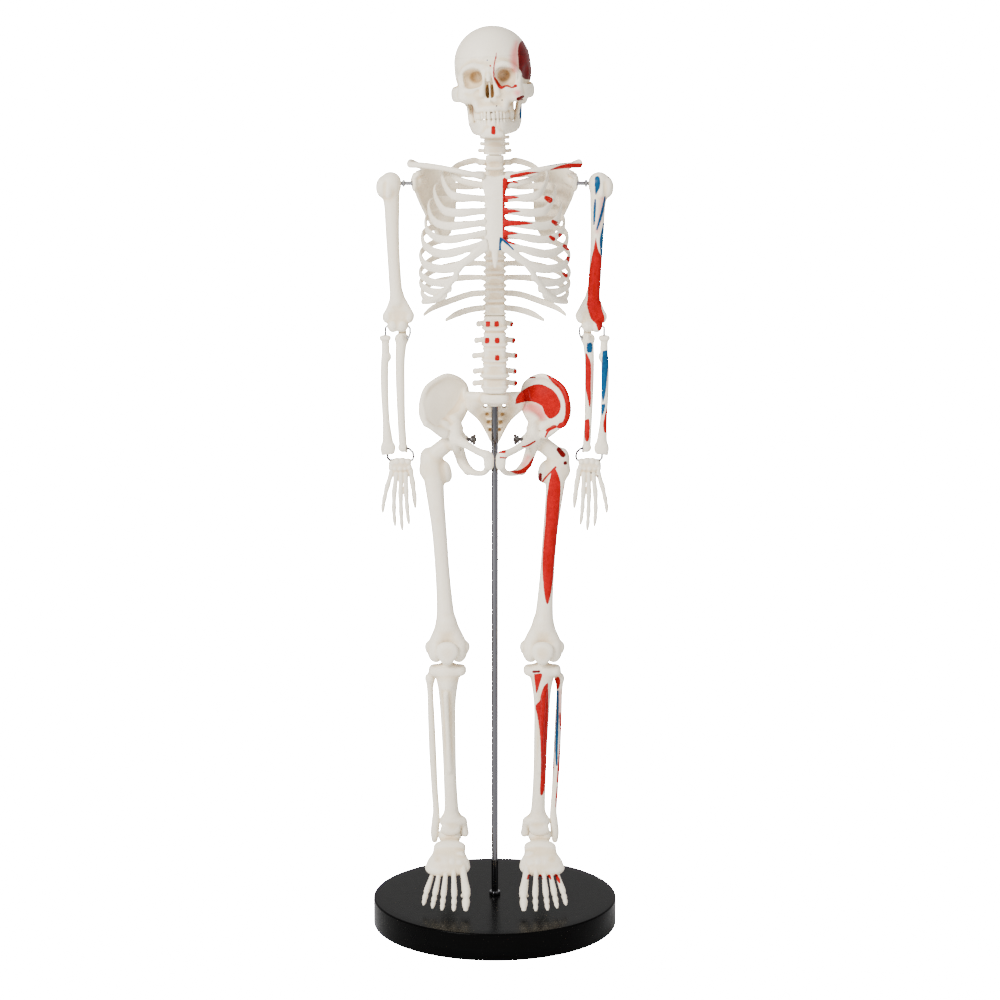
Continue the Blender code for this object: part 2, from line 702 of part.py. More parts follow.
def humerus():
    x, y, z = SHOULDER
    shape = Shape()
    shape.ball((x - 0.5, y, z), 10.2).ball((x + 6, y - 3, z - 4), (6, 7, 9))
    shape.chain([(x, y, z - 6), (x - 1, y, z - 24), (x - 4, y, 640), (ELBOW[0] + 0.5, ELBOW[1], 594)],
                [9.5, 6.5, 5.6, 5.2], steps=2)
    for side in (-1, 1):
        shape.chain([(ELBOW[0], ELBOW[1], 597), (ELBOW[0] + side * 9.5, ELBOW[1], 582)], [4.8, 4.4])
    shape.rod(beside(ELBOW, ELBOW_SIDES[0]), beside(ELBOW, ELBOW_SIDES[1]), ELBOW_RADIUS, sides=16)
    bone = fuse("humerus_left", shape, 1.1, 330)
    cut(bone, Shape().rod(beside(SHOULDER, -20), beside(SHOULDER, 6), 2.2 + CLEARANCE))
    cut(bone, axle(ELBOW, 25, PIN_RADIUS + CLEARANCE))
    return bone


# Centre lines of the two wires of the forearm, with their bends in short straight steps.
ELBOW_WIRE = [(84.5, 4, 558.5), (83, 4, 560.4), (79.6, 4, 562), (78.4, 4, 565.5), (78.4, 4, 570.4), (80.2, 4, 573),
              (89, 4, 573), (99, 4, 573), (101.2, 4, 571), (101.2, 4, 567.5), (101.2, 4, 559)]
WRIST_WIRE = [(84.2, -3, 463), (83.6, -4.2, 460), (79.4, -5.2, 459), (76.2, -5.5, 456), (75.4, -5.5, 452),
              (76.4, -5.5, 448.5), (86, -5.5, 448.5), (98, -5.5, 448.5), (99.6, -5.4, 450.6), (99.8, -5, 456),
              (99.6, -4.5, 464)]


def elbow_wire():
    """Wire axle of the elbow, bent down at both ends into the bones of the forearm."""
    return wire("elbow_wire_left", ELBOW_WIRE, PIN_RADIUS)


def wrist_wire():
    """Wire axle of the wrist, bent up at both ends into the bones of the forearm."""
    return wire("wrist_wire_left", WRIST_WIRE, PIN_RADIUS)


def radius_bone():
    """The outer bone of the forearm, from its round head at the elbow to its broad end at the wrist."""
    shape = Shape()
    shape.ball((101.4, 4, 561.2), (5.4, 5.4, 3.0))
    shape.chain([(101.4, 4, 560), (101.2, 3, 550), (102, 1, 512), (100.4, -1, 485), (98.4, -3, 465)],
                [4.2, 3.5, 4.1, 4.2, 5.6], steps=2)
    shape.ball((98.2, -3.5, 462.4), (6.6, 5, 4.4))
    bone = fuse("radius_left", shape, 1.1, 170)
    for places in (ELBOW_WIRE, WRIST_WIRE):
        cut(bone, wire("bore", places, PIN_RADIUS + CLEARANCE, CUTTERS))
    return bone


def ulna():
    """The inner bone of the forearm, with the hooked end that takes the roller of the elbow."""
    shape = Shape()
    shape.ball((86.4, 6, 560.5), (7.4, 7, 5.8)).chain([(86.6, 13, 561), (86.6, 14, 573)], [4.6, 3.6])
    shape.chain([(86.2, 5, 558), (86.6, 4, 540), (87, 2, 512), (85, -1, 480), (84, -3.2, 462)],
                [5.6, 4.2, 3.8, 3.6, 4.2], steps=2)
    bone = fuse("ulna_left", shape, 1.1, 200)
    cut(bone, axle(ELBOW, 30, ELBOW_RADIUS + 1.0, sides=20))
    for places in (ELBOW_WIRE, WRIST_WIRE):
        cut(bone, wire("bore", places, PIN_RADIUS + CLEARANCE, CUTTERS))
    return bone


# Joints of each digit from the wrist to the tip, and the radii there.
DIGITS = {
    "little": ([(94.5, -5, 440), (99, -7, 424), (102, -6, 413), (103, -3, 402)], [2.6, 2.4, 2.0, 1.4]),
    "ring": ([(90.5, -6, 441), (93, -9, 419), (92, -8, 402), (90, -4, 388)], [2.6, 2.5, 2.1, 1.5]),
    "middle": ([(86.5, -6, 442), (87, -9, 417), (85, -8, 398), (83.5, -4, 382)], [2.8, 2.6, 2.2, 1.5]),
    "index": ([(82, -6, 441), (80, -9, 419), (77.5, -8, 402), (76, -4, 388)], [2.6, 2.6, 2.2, 1.5]),
    "thumb": ([(78, -4, 443), (73, -4, 427), (70, -2, 414), (68, 1, 402)], [2.8, 2.7, 2.4, 1.7]),
}


def hand():
    shape = Shape().ball((86, -4.5, 446), (10.5, 5.4, 7.4)).ball((84, -5, 440), (9, 4.4, 6))
    for places, radii in DIGITS.values():
        shape.chain(places, radii)
        for place, radius in zip(places[1:-1], radii[1:-1]):
            shape.ball(place, radius + 0.5)
    bone = fuse("hand_left", shape, 1.0, 560, smooth=2)
    cut(bone, Shape().rod(beside(WRIST, -25), beside(WRIST, -9.6), 9, sides=20))
    cut(bone, Shape().rod(beside(WRIST, 9.4), beside(WRIST, 25), 4, sides=16))
    cut(bone, axle(WRIST, 30, PIN_RADIUS + CLEARANCE))
    return bone


# ---------------------------------------------------------------- the pelvis and leg

def hip_bone(tail_bone):
    shape = Shape()
    shape.sheet([[(26.5, 25, 502), (30, 17, 488), (40, 3, 477)],
                 [(29, 24, 514), (42, 13, 500), (48, -5, 482)],
                 [(35, 20, 524), (54, 9, 514), (57.5, -15, 486)],
                 [(42, 15, 527), (65, 2, 508), (62.5, -20, 489)]], 3.4)
    shape.chain([(27, 27.5, 505), (29, 25, 516), (35, 19.5, 524.5), (46, 12.5, 528), (57, 7.5, 521.5),
                 (66, 0, 508), (67.5, -10, 496), (61.5, -21, 485.5)], [3.0, 2.6, 2.4, 2.5, 2.6, 2.7, 2.5, 2.7],
                steps=2)
    shape.chain([(61.5, -21, 486), (54, -16, 477.5), (47, -12, 474)], [2.6, 3.2, 4.6])
    shape.ball((36, 0, 469), (8, 15, 15))
    shape.chain([(38, 3, 484), (33, 12, 489), (28.5, 20, 497)], [6.2, 4.8, 4.8])
    shape.chain([(37, -9, 469), (28, -20, 466), (17, -29, 461), (8, -34.5, 458)], [6.4, 4.0, 3.6, 4.0])
    shape.chain([(5.6, -34, 458), (5.4, -32, 448)], [4.0, 4.0])
    shape.chain([(34, 9, 459), (28.5, 14.5, 450), (25.5, 14.5, 441), (22.5, 11, 436)], [6.0, 5.4, 5.0, 4.2])
    shape.chain([(22.5, 11, 435.6), (14, -6, 436.5), (6, -29, 446)], [4.2, 3.0, 3.4])
    shape.chain([(31, 11, 467), (25, 20, 464.5)], [4.4, 1.8])
    bone = fuse("hip_bone_left", shape, 1.3, 620, smooth=1)
    cut(bone, Shape().block((-30 + 0.7, 0, 455), (60, 120, 90)))
    cut(bone, Shape().ball(HIP, HIP_HEAD_RADIUS + 1.2))
    cut(bone, Shape().rod(HIP, beside(HIP, 30), HIP_HEAD_RADIUS + 1.2, HIP_HEAD_RADIUS + 3, sides=20))
    cut(bone, Shape().rod(beside(HIP, -30), beside(HIP, 5), 1.8 + CLEARANCE))
    keep_clear(bone, tail_bone)
    return bone


def hip_bolt():
    """Bolt through the hip socket into the ball of the thigh bone."""
    x = HIP[0]
    return turned("hip_bolt_left", ((0, x + 5), (1.8, x + 5), (1.8, x - 20), (0, x - 20)), steps=10, place=HIP)


def wing_nut():
    """Wing nut on the inner end of the hip bolt."""
    x, y, z = beside(HIP, -15.6)
    shape = Shape().rod((x - 3.4, y, z), (x + 1.4, y, z), 3.6)
    for side in (-1, 1):
        shape.chain([(x - 1, y, z), (x - 2.4, y + side * 6, z + side * 2.5)], [1.7, 1.8])
    nut = fuse("hip_wing_nut_left", shape, 0.8, 110, smooth=1)
    cut(nut, Shape().rod(beside(HIP, -30), beside(HIP, 0), 1.8 + CLEARANCE))
    return nut


def femur():
    x, y, z = HIP
    shape = Shape().ball(HIP, HIP_HEAD_RADIUS)
    shape.chain([(x + 5, y, z - 3), (55, 1.5, 454)], [7.2, 7.6]).chain([(61, 4, 451), (60, 4, 440)], [7.2, 7.0])
    shape.ball((43.5, 7.5, 432), (5, 5, 6))
    shape.chain([(58, 3, 446), (53.6, 0, 415), (49, -3, 372), (46, -10, 316), (45.2, -13, 292)],
                [9.4, 8.6, 7.1, 7.4, 9.2], steps=2)
    for side in (-1, 1):
        shape.ball((KNEE[0] + side * 10.5, KNEE[1] + 1, KNEE[2] + 1), (8.6, KNEE_RADIUS - 0.5, KNEE_RADIUS - 1.2))
        shape.chain([(45, -12, 297), (KNEE[0] + side * 9, KNEE[1], KNEE[2] + 7)], [8, 8.6])
    bone = fuse("femur_left", shape, 1.3, 480)
    cut(bone, Shape().rod(beside(HIP, -16), beside(HIP, 5.6), 1.8 + CLEARANCE))
    cut(bone, axle(KNEE, KNEE_TONGUE / 2 + 0.5, KNEE_RADIUS + 2.5, sides=24))
    cut(bone, axle(KNEE, 30, PIN_RADIUS + CLEARANCE))
    return bone


def patella(thigh):
    x, y, z = KNEE
    cap = fuse("patella_left", Shape().ball((x, y - 13.6, z + 2), (9.5, 3.4, 10)), 1.0, 90)
    keep_clear(cap, thigh)
    return cap


def tibia():
    """Shin bone, with the tongue that turns on the knee pin between the knuckles of the thigh bone."""
    x, y, z = KNEE
    shape = Shape().ball((x, y - 3, z - 24), (8, 7, 8))
    for side in (-1, 1):
        shape.ball((x + side * 8.5, y + 2.6, z - 19), (9.4, 10, 6.2))
    shape.chain([(x, y + 3, z - 20), (x, y + 1, z - 40), (44, -6, 190), (42, 0, 140), (41, 4, 108)],
                [11, 8.2, 6.6, 5.8, 7.0], steps=2)
    shape.ball((41, 5, 99), (11.0, 9.5, 7)).chain([(31.5, 4, 98), (30.5, 5, 86)], [4.2, 3.2])
    shape.rod(beside(KNEE, -KNEE_TONGUE / 2), beside(KNEE, KNEE_TONGUE / 2), 7.5, sides=16)
    shape.block((x, y, z - 9), (KNEE_TONGUE, 15, 18))
    bone = fuse("tibia_left", shape, 1.1, 400, smooth=2)
    for side in (-1, 1):
        inner, outer = beside(KNEE, side * (KNEE_TONGUE / 2 - 0.2)), beside(KNEE, side * 30)
        cut(bone, Shape().rod(inner, outer, KNEE_RADIUS + 1.0, sides=24))
    cut(bone, axle(KNEE, 30, PIN_RADIUS + CLEARANCE))
    cut(bone, Shape().rod(beside(ANKLE, -8.8), beside(ANKLE, 25), ANKLE_RADIUS + 1.0, sides=20))
    cut(bone, axle(ANKLE, 30, PIN_RADIUS + CLEARANCE))
    return bone


def knee_pin():
    return as_object("knee_pin_left", axle(KNEE, 20, PIN_RADIUS, sides=10))


def fibula(shin):
    shape = Shape().chain([(61, -4, 240), (61, -2, 228), (59, 3, 180), (57, 6, 130), (55.5, 6, 104), (55.2, 6.2, 83)],
                          [4.6, 3.2, 3.0, 3.0, 3.6, 3.8], steps=2)
    bone = fuse("fibula_left", shape, 1.1, 180)
    keep_clear(bone, shin)
    cut(bone, axle(ANKLE, 30, PIN_RADIUS + CLEARANCE))
    return bone


# Joints of each ray of the foot and the radii there, with the ankle axis at the origin and the toes towards -Y.
TOES = {
    "big": ([(-7, -34, -19), (-12, -57, -29), (-14, -70, -33), (-15, -79, -35)], [4.6, 4.2, 3.4, 2.4]),
    "second": ([(-2, -36, -17), (-4, -60, -30), (-5, -71, -33), (-5.5, -80, -35)], [3.2, 2.8, 2.3, 1.8]),
    "third": ([(3, -35, -18), (4.5, -58, -30), (5, -69, -33), (5, -77, -35)], [3.0, 2.7, 2.2, 1.7]),
    "fourth": ([(8, -32, -21), (12, -54, -31), (14, -65, -33), (15, -72, -35)], [3.0, 2.6, 2.2, 1.7]),
    "little": ([(12, -27, -25), (19, -49, -31), (22, -59, -33), (23.5, -66, -35)], [3.4, 2.7, 2.2, 1.7]),
}


def foot():
    shape = Shape().rod((-6.8, 0, 0), (6.8, 0, 0), ANKLE_RADIUS, sides=16).ball((0, -5, -6), (8, 11, 7))
    shape.chain([(1, 2, -13), (3, 20, -23)], [7.4, 8.0])
    for centre, radii in (((-3, -18, -12), (10, 9, 8)), ((8, -17, -19), (7, 12, 6.5)), ((-3, -30, -16), (10, 9, 6.5))):
        shape.ball(centre, radii)
    for places, radii in TOES.values():
        shape.chain(places, radii)
    bone = fuse("foot_left", shape.tilt(ANKLE, FOOT_DROP), 1.1, 560, smooth=2)
    cut(bone, axle(ANKLE, 30, PIN_RADIUS + CLEARANCE))
    return bone


def ankle_pin():
    return as_object("ankle_pin_left", axle(ANKLE, 15, PIN_RADIUS, sides=10))


# ---------------------------------------------------------------- assembly

def paint(objects, finish):
    for obj in objects:
        obj.data.materials.clear()
        obj.data.materials.append(finish)


def main():
    clear_scene()
    bone = material("bone_plastic", (0.87, 0.83, 0.74), 0.45)
    steel = material("chrome_steel", (0.75, 0.76, 0.78), 0.12, 1.0)
    dark_steel = material("dark_steel", (0.22, 0.22, 0.23), 0.35, 0.9)
    black = material("black_plastic", (0.012, 0.012, 0.013), 0.25)

    paint([base_disc()], black)
    paint([support_rod(), rod_collar(), rod_bolt()], steel)

    skull, spine, breastbone, tail_bone = skull_base(), thoracic_spine(), sternum(), sacrum()
    cap, jaw = skull_cap(), mandible(skull)
    pose_head((skull, cap, jaw))
    ribs = rib_cage_half(spine, breastbone)
    collar_bone = clavicle(breastbone, ribs)
    thigh, shin = femur(), tibia()
    middle = [skull, cap, jaw, cervical_spine(skull), spine, lumbar_spine(), breastbone, tail_bone]
    bones = [ribs, floating_rib(11, spine), floating_rib(12, spine), collar_bone, scapula(ribs, collar_bone),
             humerus(), radius_bone(), ulna(), hand(), hip_bone(tail_bone), thigh, patella(thigh), shin, fibula(shin),
             foot()]
    fittings = [shoulder_pin(), elbow_wire(), wrist_wire(), hip_bolt(), wing_nut(), knee_pin(), ankle_pin()]
    twins = [mirrored(obj, obj.name.replace("_left", "_right")) for obj in bones + fittings]
    # The middle pieces are not quite even, so what meets them on the right is cleared again.
    for twin in twins:
        if "rib" in twin.name:
            keep_clear(twin, spine)
        if twin.name in ("rib_cage_right", "clavicle_right"):
            keep_clear(twin, breastbone)
        if twin.name == "hip_bone_right":
            keep_clear(twin, tail_bone)
    paint(middle + bones + twins[:len(bones)], bone)
    paint(fittings + twins[len(bones):], dark_steel)


main()
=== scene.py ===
"""The looks of the half-size skeleton model: every bone is carved as a distance field, then meshed.

Lengths in the anatomy functions are millimetres in the frame of the CAD model. The figure faces -Y, and its
own left side, the one with the painted muscle marks, is at +X. Left bones are mirrored for the right side.
"""

import json
import math

import bmesh
import bpy
import numpy as np
from mathutils import Matrix, Vector


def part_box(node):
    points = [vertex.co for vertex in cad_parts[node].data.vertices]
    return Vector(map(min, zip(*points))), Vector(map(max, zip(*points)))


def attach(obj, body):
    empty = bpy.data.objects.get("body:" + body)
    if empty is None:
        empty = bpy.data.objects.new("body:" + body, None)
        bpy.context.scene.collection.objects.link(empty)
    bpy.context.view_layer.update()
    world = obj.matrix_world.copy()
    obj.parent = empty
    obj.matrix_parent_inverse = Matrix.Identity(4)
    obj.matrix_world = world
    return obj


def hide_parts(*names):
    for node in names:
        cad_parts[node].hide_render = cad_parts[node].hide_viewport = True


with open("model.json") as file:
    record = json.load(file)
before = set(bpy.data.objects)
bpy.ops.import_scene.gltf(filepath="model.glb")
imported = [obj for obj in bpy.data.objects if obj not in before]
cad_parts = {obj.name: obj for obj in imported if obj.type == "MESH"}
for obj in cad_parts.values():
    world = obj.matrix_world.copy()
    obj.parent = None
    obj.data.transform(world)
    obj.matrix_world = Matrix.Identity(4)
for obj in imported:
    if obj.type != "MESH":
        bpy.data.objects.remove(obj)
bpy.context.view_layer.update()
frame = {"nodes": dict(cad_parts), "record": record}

MM = 0.001
FAR = 30.0                            # field value away from everything, in mm
STEP = 0.8     # grid step of the larger bones, in mm
FINE_STEP = 0.7                       # of the slender ones
MEDIUM_STEP = 0.75


# ---------------------------------------------------------------- carving

def turn_matrix(turn):
    """Rotation from angles in degrees about X, then Y, then Z."""
    rx, ry, rz = (math.radians(a) for a in turn)
    return np.array(Matrix.Rotation(rz, 3, "Z") @ Matrix.Rotation(ry, 3, "Y") @ Matrix.Rotation(rx, 3, "X"))


def smooth_line(places, steps):
    """Catmull-Rom curve through rows of numbers, with this many steps for each stretch."""
    rows = np.array(places, float)
    rows = np.vstack([2 * rows[0] - rows[1], rows, 2 * rows[-1] - rows[-2]])
    t = (np.arange(steps) / steps)[:, None]
    out = []
    for a, b, c, d in zip(rows, rows[1:], rows[2:], rows[3:]):
        out.append(0.5 * (2 * b + (c - a) * t + (2 * a - 5 * b + 4 * c - d) * t ** 2
                          + (3 * b - a - 3 * c + d) * t ** 3))
    out.append(rows[-2][None])
    return np.vstack(out)


def ball_field(centre, radii, turn=None, power=2.0):
    centre = np.array(centre, float)
    radii = np.ones(3) * radii
    spin = turn_matrix(turn) if turn else None

    def field(x, y, z):
        x, y, z = x - centre[0], y - centre[1], z - centre[2]
        if spin is not None:
            x, y, z = (x * spin[0, i] + y * spin[1, i] + z * spin[2, i] for i in range(3))
        if power == 2.0:
            near = np.sqrt((x / radii[0]) ** 2 + (y / radii[1]) ** 2 + (z / radii[2]) ** 2)
            slope = np.sqrt((x / radii[0] ** 2) ** 2 + (y / radii[1] ** 2) ** 2 + (z / radii[2] ** 2) ** 2)
            return near * (near - 1) / np.maximum(slope, 1e-4)
        near = (np.abs(x / radii[0]) ** power + np.abs(y / radii[1]) ** power
                + np.abs(z / radii[2]) ** power) ** (1 / power)
        return (near - 1) * radii.min()
    reach = radii if spin is None else np.ones(3) * radii.max()
    return centre - reach, centre + reach, field


def bar_field(start, end, r0, r1=None, squeeze=(1, 1, 1)):
    """A tapered bar with round ends. A squeeze above 1 makes it thinner along that axis, below 1 thicker."""
    r1 = r0 if r1 is None else r1
    start, end, squeeze = np.array(start, float), np.array(end, float), np.array(squeeze, float)
    along = (end - start) * squeeze
    length = max(along @ along, 1e-9)

    def field(x, y, z):
        x, y, z = ((v - s) * q for v, s, q in zip((x, y, z), start, squeeze))
        t = np.clip((x * along[0] + y * along[1] + z * along[2]) / length, 0, 1)
        return np.sqrt((x - t * along[0]) ** 2 + (y - t * along[1]) ** 2
                       + (z - t * along[2]) ** 2) - (r0 + (r1 - r0) * t)
    reach = max(r0, r1) / squeeze
    return np.minimum(start, end) - reach, np.maximum(start, end) + reach, field


class Bone:
    """A list of carving steps, meshed at the end."""

    def __init__(self, step=None):
        self.step = step or STEP
        self.steps = []

    def put(self, piece, blend=0.0, cut=False):
        low, high, field = piece
        self.steps.append((np.array(low), np.array(high), field, blend, cut))
        return self

    def ball(self, centre, radii, blend=0.0, cut=False, turn=None, power=2.0):
        return self.put(ball_field(centre, radii, turn, power), blend, cut)

    def bar(self, start, end, r0, r1=None, blend=0.0, cut=False, squeeze=(1, 1, 1)):
        return self.put(bar_field(start, end, r0, r1, squeeze), blend, cut)

    def tube(self, places, radii, steps=4, blend=0.0, cut=False, squeeze=(1, 1, 1)):
        """A curved bar through the places, blended as one."""
        radii = np.ones(len(places)) * radii
        rows = smooth_line([(*p, r) for p, r in zip(places, radii)], steps)
        bars = [bar_field(a[:3], b[:3], a[3], b[3], squeeze) for a, b in zip(rows, rows[1:])]
        if blend == 0 and not cut:
            for piece in bars:
                self.put(piece)
            return self
        low = np.min([b[0] for b in bars], axis=0)
        high = np.max([b[1] for b in bars], axis=0)

        def field(x, y, z):
            out = bars[0][2](x, y, z)
            for piece in bars[1:]:
                out = np.minimum(out, piece[2](x, y, z))
            return out
        return self.put((low, high, field), blend, cut)

    def sheet(self, rows, thickness, blend=0.0, spacing=1.0):
        """A curved plate through a net of points, laid as close-set balls. thickness may be a row list."""
        thickness = np.ones(len(rows)) * thickness
        net = np.array([[(*p, t) for p in row] for row, t in zip(rows, thickness)], float)
        reach = max(np.linalg.norm(np.diff(net[..., :3], axis=0), axis=-1).max(),
                    np.linalg.norm(np.diff(net[..., :3], axis=1), axis=-1).max())
        steps = max(2, int(math.ceil(reach / spacing)))
        fine = np.array([smooth_line(row, steps) for row in net])
        fine = np.array([smooth_line(fine[:, i], steps) for i in range(fine.shape[1])]).reshape(-1, 4)
        for x, y, z, t in fine:
            self.put(ball_field((x, y, z), t / 2), blend)
        return self

    def keep(self, normal, level):
        """Saws off what lies beyond the plane."""
        normal = np.array(normal, float)
        wide = np.ones(3) * 500
        return self.put((-wide, wide + 500, lambda x, y,
                         z: level - (x * normal[0] + y * normal[1] + z * normal[2])),
                        0.0, True)

    def carve(self):
        solid = [s for s in self.steps if not s[4]]
        step = self.step
        low = np.min([s[0] for s in solid], axis=0) - 4 * step
        high = np.max([s[1] for s in solid], axis=0) + 4 * step
        count = np.ceil((high - low) / step).astype(int) + 1
        axes = [(low[i] + step * np.arange(count[i])).astype(np.float32) for i in range(3)]
        grid = np.full(count, FAR, np.float32)
        for piece_low, piece_high, field, blend, cut in self.steps:
            pad = blend + 2.5 * step
            first = np.clip(np.floor((piece_low - pad - low) / step).astype(int), 0, count)
            last = np.clip(np.ceil((piece_high + pad - low) / step).astype(int) + 1, 0, count)
            if (last <= first).any():
                continue
            part = tuple(slice(a, b) for a, b in zip(first, last))
            x, y, z = axes[0][part[0], None, None], axes[1][None, part[1], None], axes[2][None, None,
                                                                                          part[2]]
            here, new = grid[part], field(x, y, z).astype(np.float32)
            if cut:
                here, new = -here, new
            if blend:
                share = np.clip(0.5 + 0.5 * (here - new) / blend, 0, 1)
                out = here + (new - here) * share - blend * share * (1 - share)
            else:
                out = np.minimum(here, new)
            grid[part] = -out if cut else out
        return grid, low, step


def surface_net(grid, low, step):
    """Quads of the field's zero surface, with a vertex in each cell that it crosses."""
    inside = grid < 0
    shape = np.array(grid.shape)
    stride = np.array([shape[1] * shape[2], shape[2], 1])
    cells, spots, quads = [], [], []
    flat = grid.ravel()
    for axis in range(3):
        u, v = (axis + 1) % 3, (axis + 2) % 3
        ahead = [slice(None)] * 3
        behind = [slice(None)] * 3
        ahead[axis], behind[axis] = slice(1, None), slice(None, -1)
        hit = np.argwhere(inside[tuple(behind)] != inside[tuple(ahead)])
        here = hit @ stride
        f0, f1 = flat[here], flat[here + stride[axis]]
        spot = hit.astype(np.float64)
        spot[:, axis] += f0 / (f0 - f1)
        ring = np.stack([here - stride[u] - stride[v], here - stride[v], here, here - stride[u]], axis=1)
        cells.append(ring.ravel())
        spots.append(np.repeat(spot, 4, axis=0))
        ring = np.where((f0 < 0)[:, None], ring, ring[:, ::-1])
        quads.append(ring)
    cells, spots, quads = np.concatenate(cells), np.concatenate(spots), np.concatenate(quads)
    names, place = np.unique(cells, return_inverse=True)
    count = np.bincount(place)
    verts = np.stack([np.bincount(place, spots[:, i]) / count for i in range(3)], axis=1)
    return low + step * verts, np.searchsorted(names, quads)


def box_blur(values, reach):
    for axis in range(3):
        total = np.cumsum(values, axis=axis, dtype=np.float32)
        size = values.shape[axis]
        ends = np.minimum(np.arange(size) + reach, size - 1)
        starts = np.arange(size) - reach - 1
        upper = np.take(total, ends, axis=axis)
        lower = np.take(total, np.maximum(starts, 0), axis=axis)
        shape = [1, 1, 1]
        shape[axis] = size
        lower = lower * (starts >= 0).reshape(shape)
        values = (upper - lower) / (2 * reach + 1)
    return values


def sample(grid, low, step, verts):
    place = (verts - low) / step
    base = np.clip(np.floor(place).astype(int), 0, np.array(grid.shape) - 2)
    rest = place - base
    out = np.zeros(len(verts))
    for i in (0, 1):
        for j in (0, 1):
            for k in (0, 1):
                weight = (np.abs(1 - i - rest[:, 0]) * np.abs(1 - j - rest[:, 1])
                          * np.abs(1 - k - rest[:, 2]))
                out += weight * grid[base[:, 0] + i, base[:, 1] + j, base[:, 2] + k]
    return out


def relax(verts, quads, rounds=2, share=0.5):
    """Evens out the stair marks of the grid, without shrinking."""
    pairs = np.concatenate([quads[:, [0, 1]], quads[:, [1, 2]], quads[:, [2, 3]], quads[:, [3, 0]]])
    both = np.concatenate([pairs, pairs[:, ::-1]])
    count = np.bincount(both[:, 0], minlength=len(verts))[:, None]
    for _ in range(rounds):
        for weight in (share, -share * 1.04):
            mean = np.stack([np.bincount(both[:, 0], verts[both[:, 1], k], minlength=len(verts))
                             for k in range(3)], 1)
            verts = verts + weight * (mean / count - verts)
    return verts


# The hollow measure is what the bone material paints its shade and highlights from.
def hollow_share(bone):
    """Carves a bone. Returns its corners, quads and how deep in a hollow each corner lies, from 0 to 1."""
    grid, low, step = bone.carve()
    verts, quads = surface_net(grid, low, step)
    solid = np.clip(0.5 - grid / step, 0, 1)
    near = sample(box_blur(solid, max(2, round(2.4 / step))), low, step, verts)
    wide = sample(box_blur(solid, max(3, round(5.0 / step))), low, step, verts)
    verts = relax(verts, quads)
    return verts, quads, np.clip((near - 0.52) * 2.2 + (wide - 0.50) * 1.6, -1, 1)


EYE = (0.0, -2500.0, 847.0)     # the camera, from which the painted marks are laid on the plane Y = 0


def from_front(verts):
    """Where each corner falls on the plane Y = 0 when seen from the front. Y itself is kept."""
    near = EYE[1] / (EYE[1] - verts[:, 1])
    return np.stack([verts[:, 0] * near, verts[:, 1], EYE[2] + (verts[:, 2] - EYE[2]) * near], axis=1)


def segments(rows):
    """The two ends of each stretch of a line, and a function for the share along it and the distance."""
    for a, b in zip(rows, rows[1:]):
        dx, dz = b[0] - a[0], b[1] - a[1]

        def measure(x, z, a=a, dx=dx, dz=dz):
            t = np.clip(((x - a[0]) * dx + (z - a[1]) * dz) / max(dx * dx + dz * dz, 1e-6), 0, 1)
            return t, np.hypot(x - a[0] - t * dx, z - a[1] - t * dz)
        yield a, b, measure


def stroke(places, back=FAR):
    """A brush stroke through rows of x, z and half width, on what lies nearer than back."""
    rows = smooth_line(places, 5)

    def field(x, y, z):
        out = np.full(np.shape(x), FAR)
        for a, b, measure in segments(rows):
            t, away = measure(x, z)
            out = np.minimum(out, away - a[2] - (b[2] - a[2]) * t)
        return np.maximum(out, y - back)
    return field


def dot(x, z, r, back=FAR):
    return stroke([(x, z, r), (x, z + 0.01, r)], back)


def patch(outline, back=FAR):
    """A painted area inside a closed outline of x and z."""
    rows = smooth_line([*outline, outline[0]], 4)

    def field(x, y, z):
        out, inside = np.full(np.shape(x), FAR), np.zeros(np.shape(x), bool)
        for a, b, measure in segments(rows):
            out = np.minimum(out, measure(x, z)[1])
            rise = b[1] - a[1] or 1e-9
            inside ^= ((a[1] > z) != (b[1] > z)) & (x < a[0] + (b[0] - a[0]) * (z - a[1]) / rise)
        return np.maximum(np.where(inside, -out, out), y - back)
    return field


def lump(centre, radii):
    return ball_field(centre, radii)[2]


# Kinds of mark. deep and the last kind are painted shade, not paint on the model: deep darkens hollows, the
# last lays an orange-brown shade on the inner side of the jaw.
PAINTS = ("red", "blue", "maroon", "dark", "tint", "deep", "orange_shade")


def painted(verts, paint):
    """Distance in mm to each kind of mark at each corner, negative inside it."""
    out = {}
    for kind in PAINTS:
        depth = np.full(len(verts), FAR)
        for field in paint.get(kind, ()):
            depth = np.minimum(depth, field(verts[:, 0], verts[:, 1], verts[:, 2]))
        out[kind] = depth
    return out


def to_mesh(name, verts, quads, extras, mirror=False):
    mesh = bpy.data.meshes.new(name)
    if mirror:
        verts, quads = verts * (-1, 1, 1), quads[:, ::-1]
    mesh.vertices.add(len(verts))
    mesh.vertices.foreach_set("co", (verts * MM).ravel())
    mesh.loops.add(quads.size)
    mesh.loops.foreach_set("vertex_index", quads.ravel().astype(np.int32))
    mesh.polygons.add(len(quads))
    mesh.polygons.foreach_set("loop_start", np.arange(0, quads.size, 4, dtype=np.int32))
    mesh.polygons.foreach_set("use_smooth", np.ones(len(quads), bool))
    mesh.update(calc_edges=True)
    mesh.validate()
    for key, values in extras.items():
        mesh.attributes.new(key, "FLOAT", "POINT").data.foreach_set("value", np.asarray(values, np.float32))
    obj = bpy.data.objects.new(name, mesh)
    bpy.context.scene.collection.objects.link(obj)
    return obj


NODE_BODY = {node: body for body, nodes in frame["record"]["behaviour"]["bodies"].items() for node in nodes}


def stand_for(obj, node, material):
    """The piece takes the node's place, moves with its body and wears the material."""
    obj.data.materials.append(MATERIALS[material])
    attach(obj, NODE_BODY[node])
    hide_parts(node)
    return obj


def show(node, shape, paint=None, mirror=False):
    """Makes the piece that stands for a CAD node."""
    verts, quads, hollow = shape
    extras = {"hollow": hollow, **painted(from_front(verts), paint or {})}
    return stand_for(to_mesh("shape_" + node, verts, quads, extras, mirror), node, "bone")


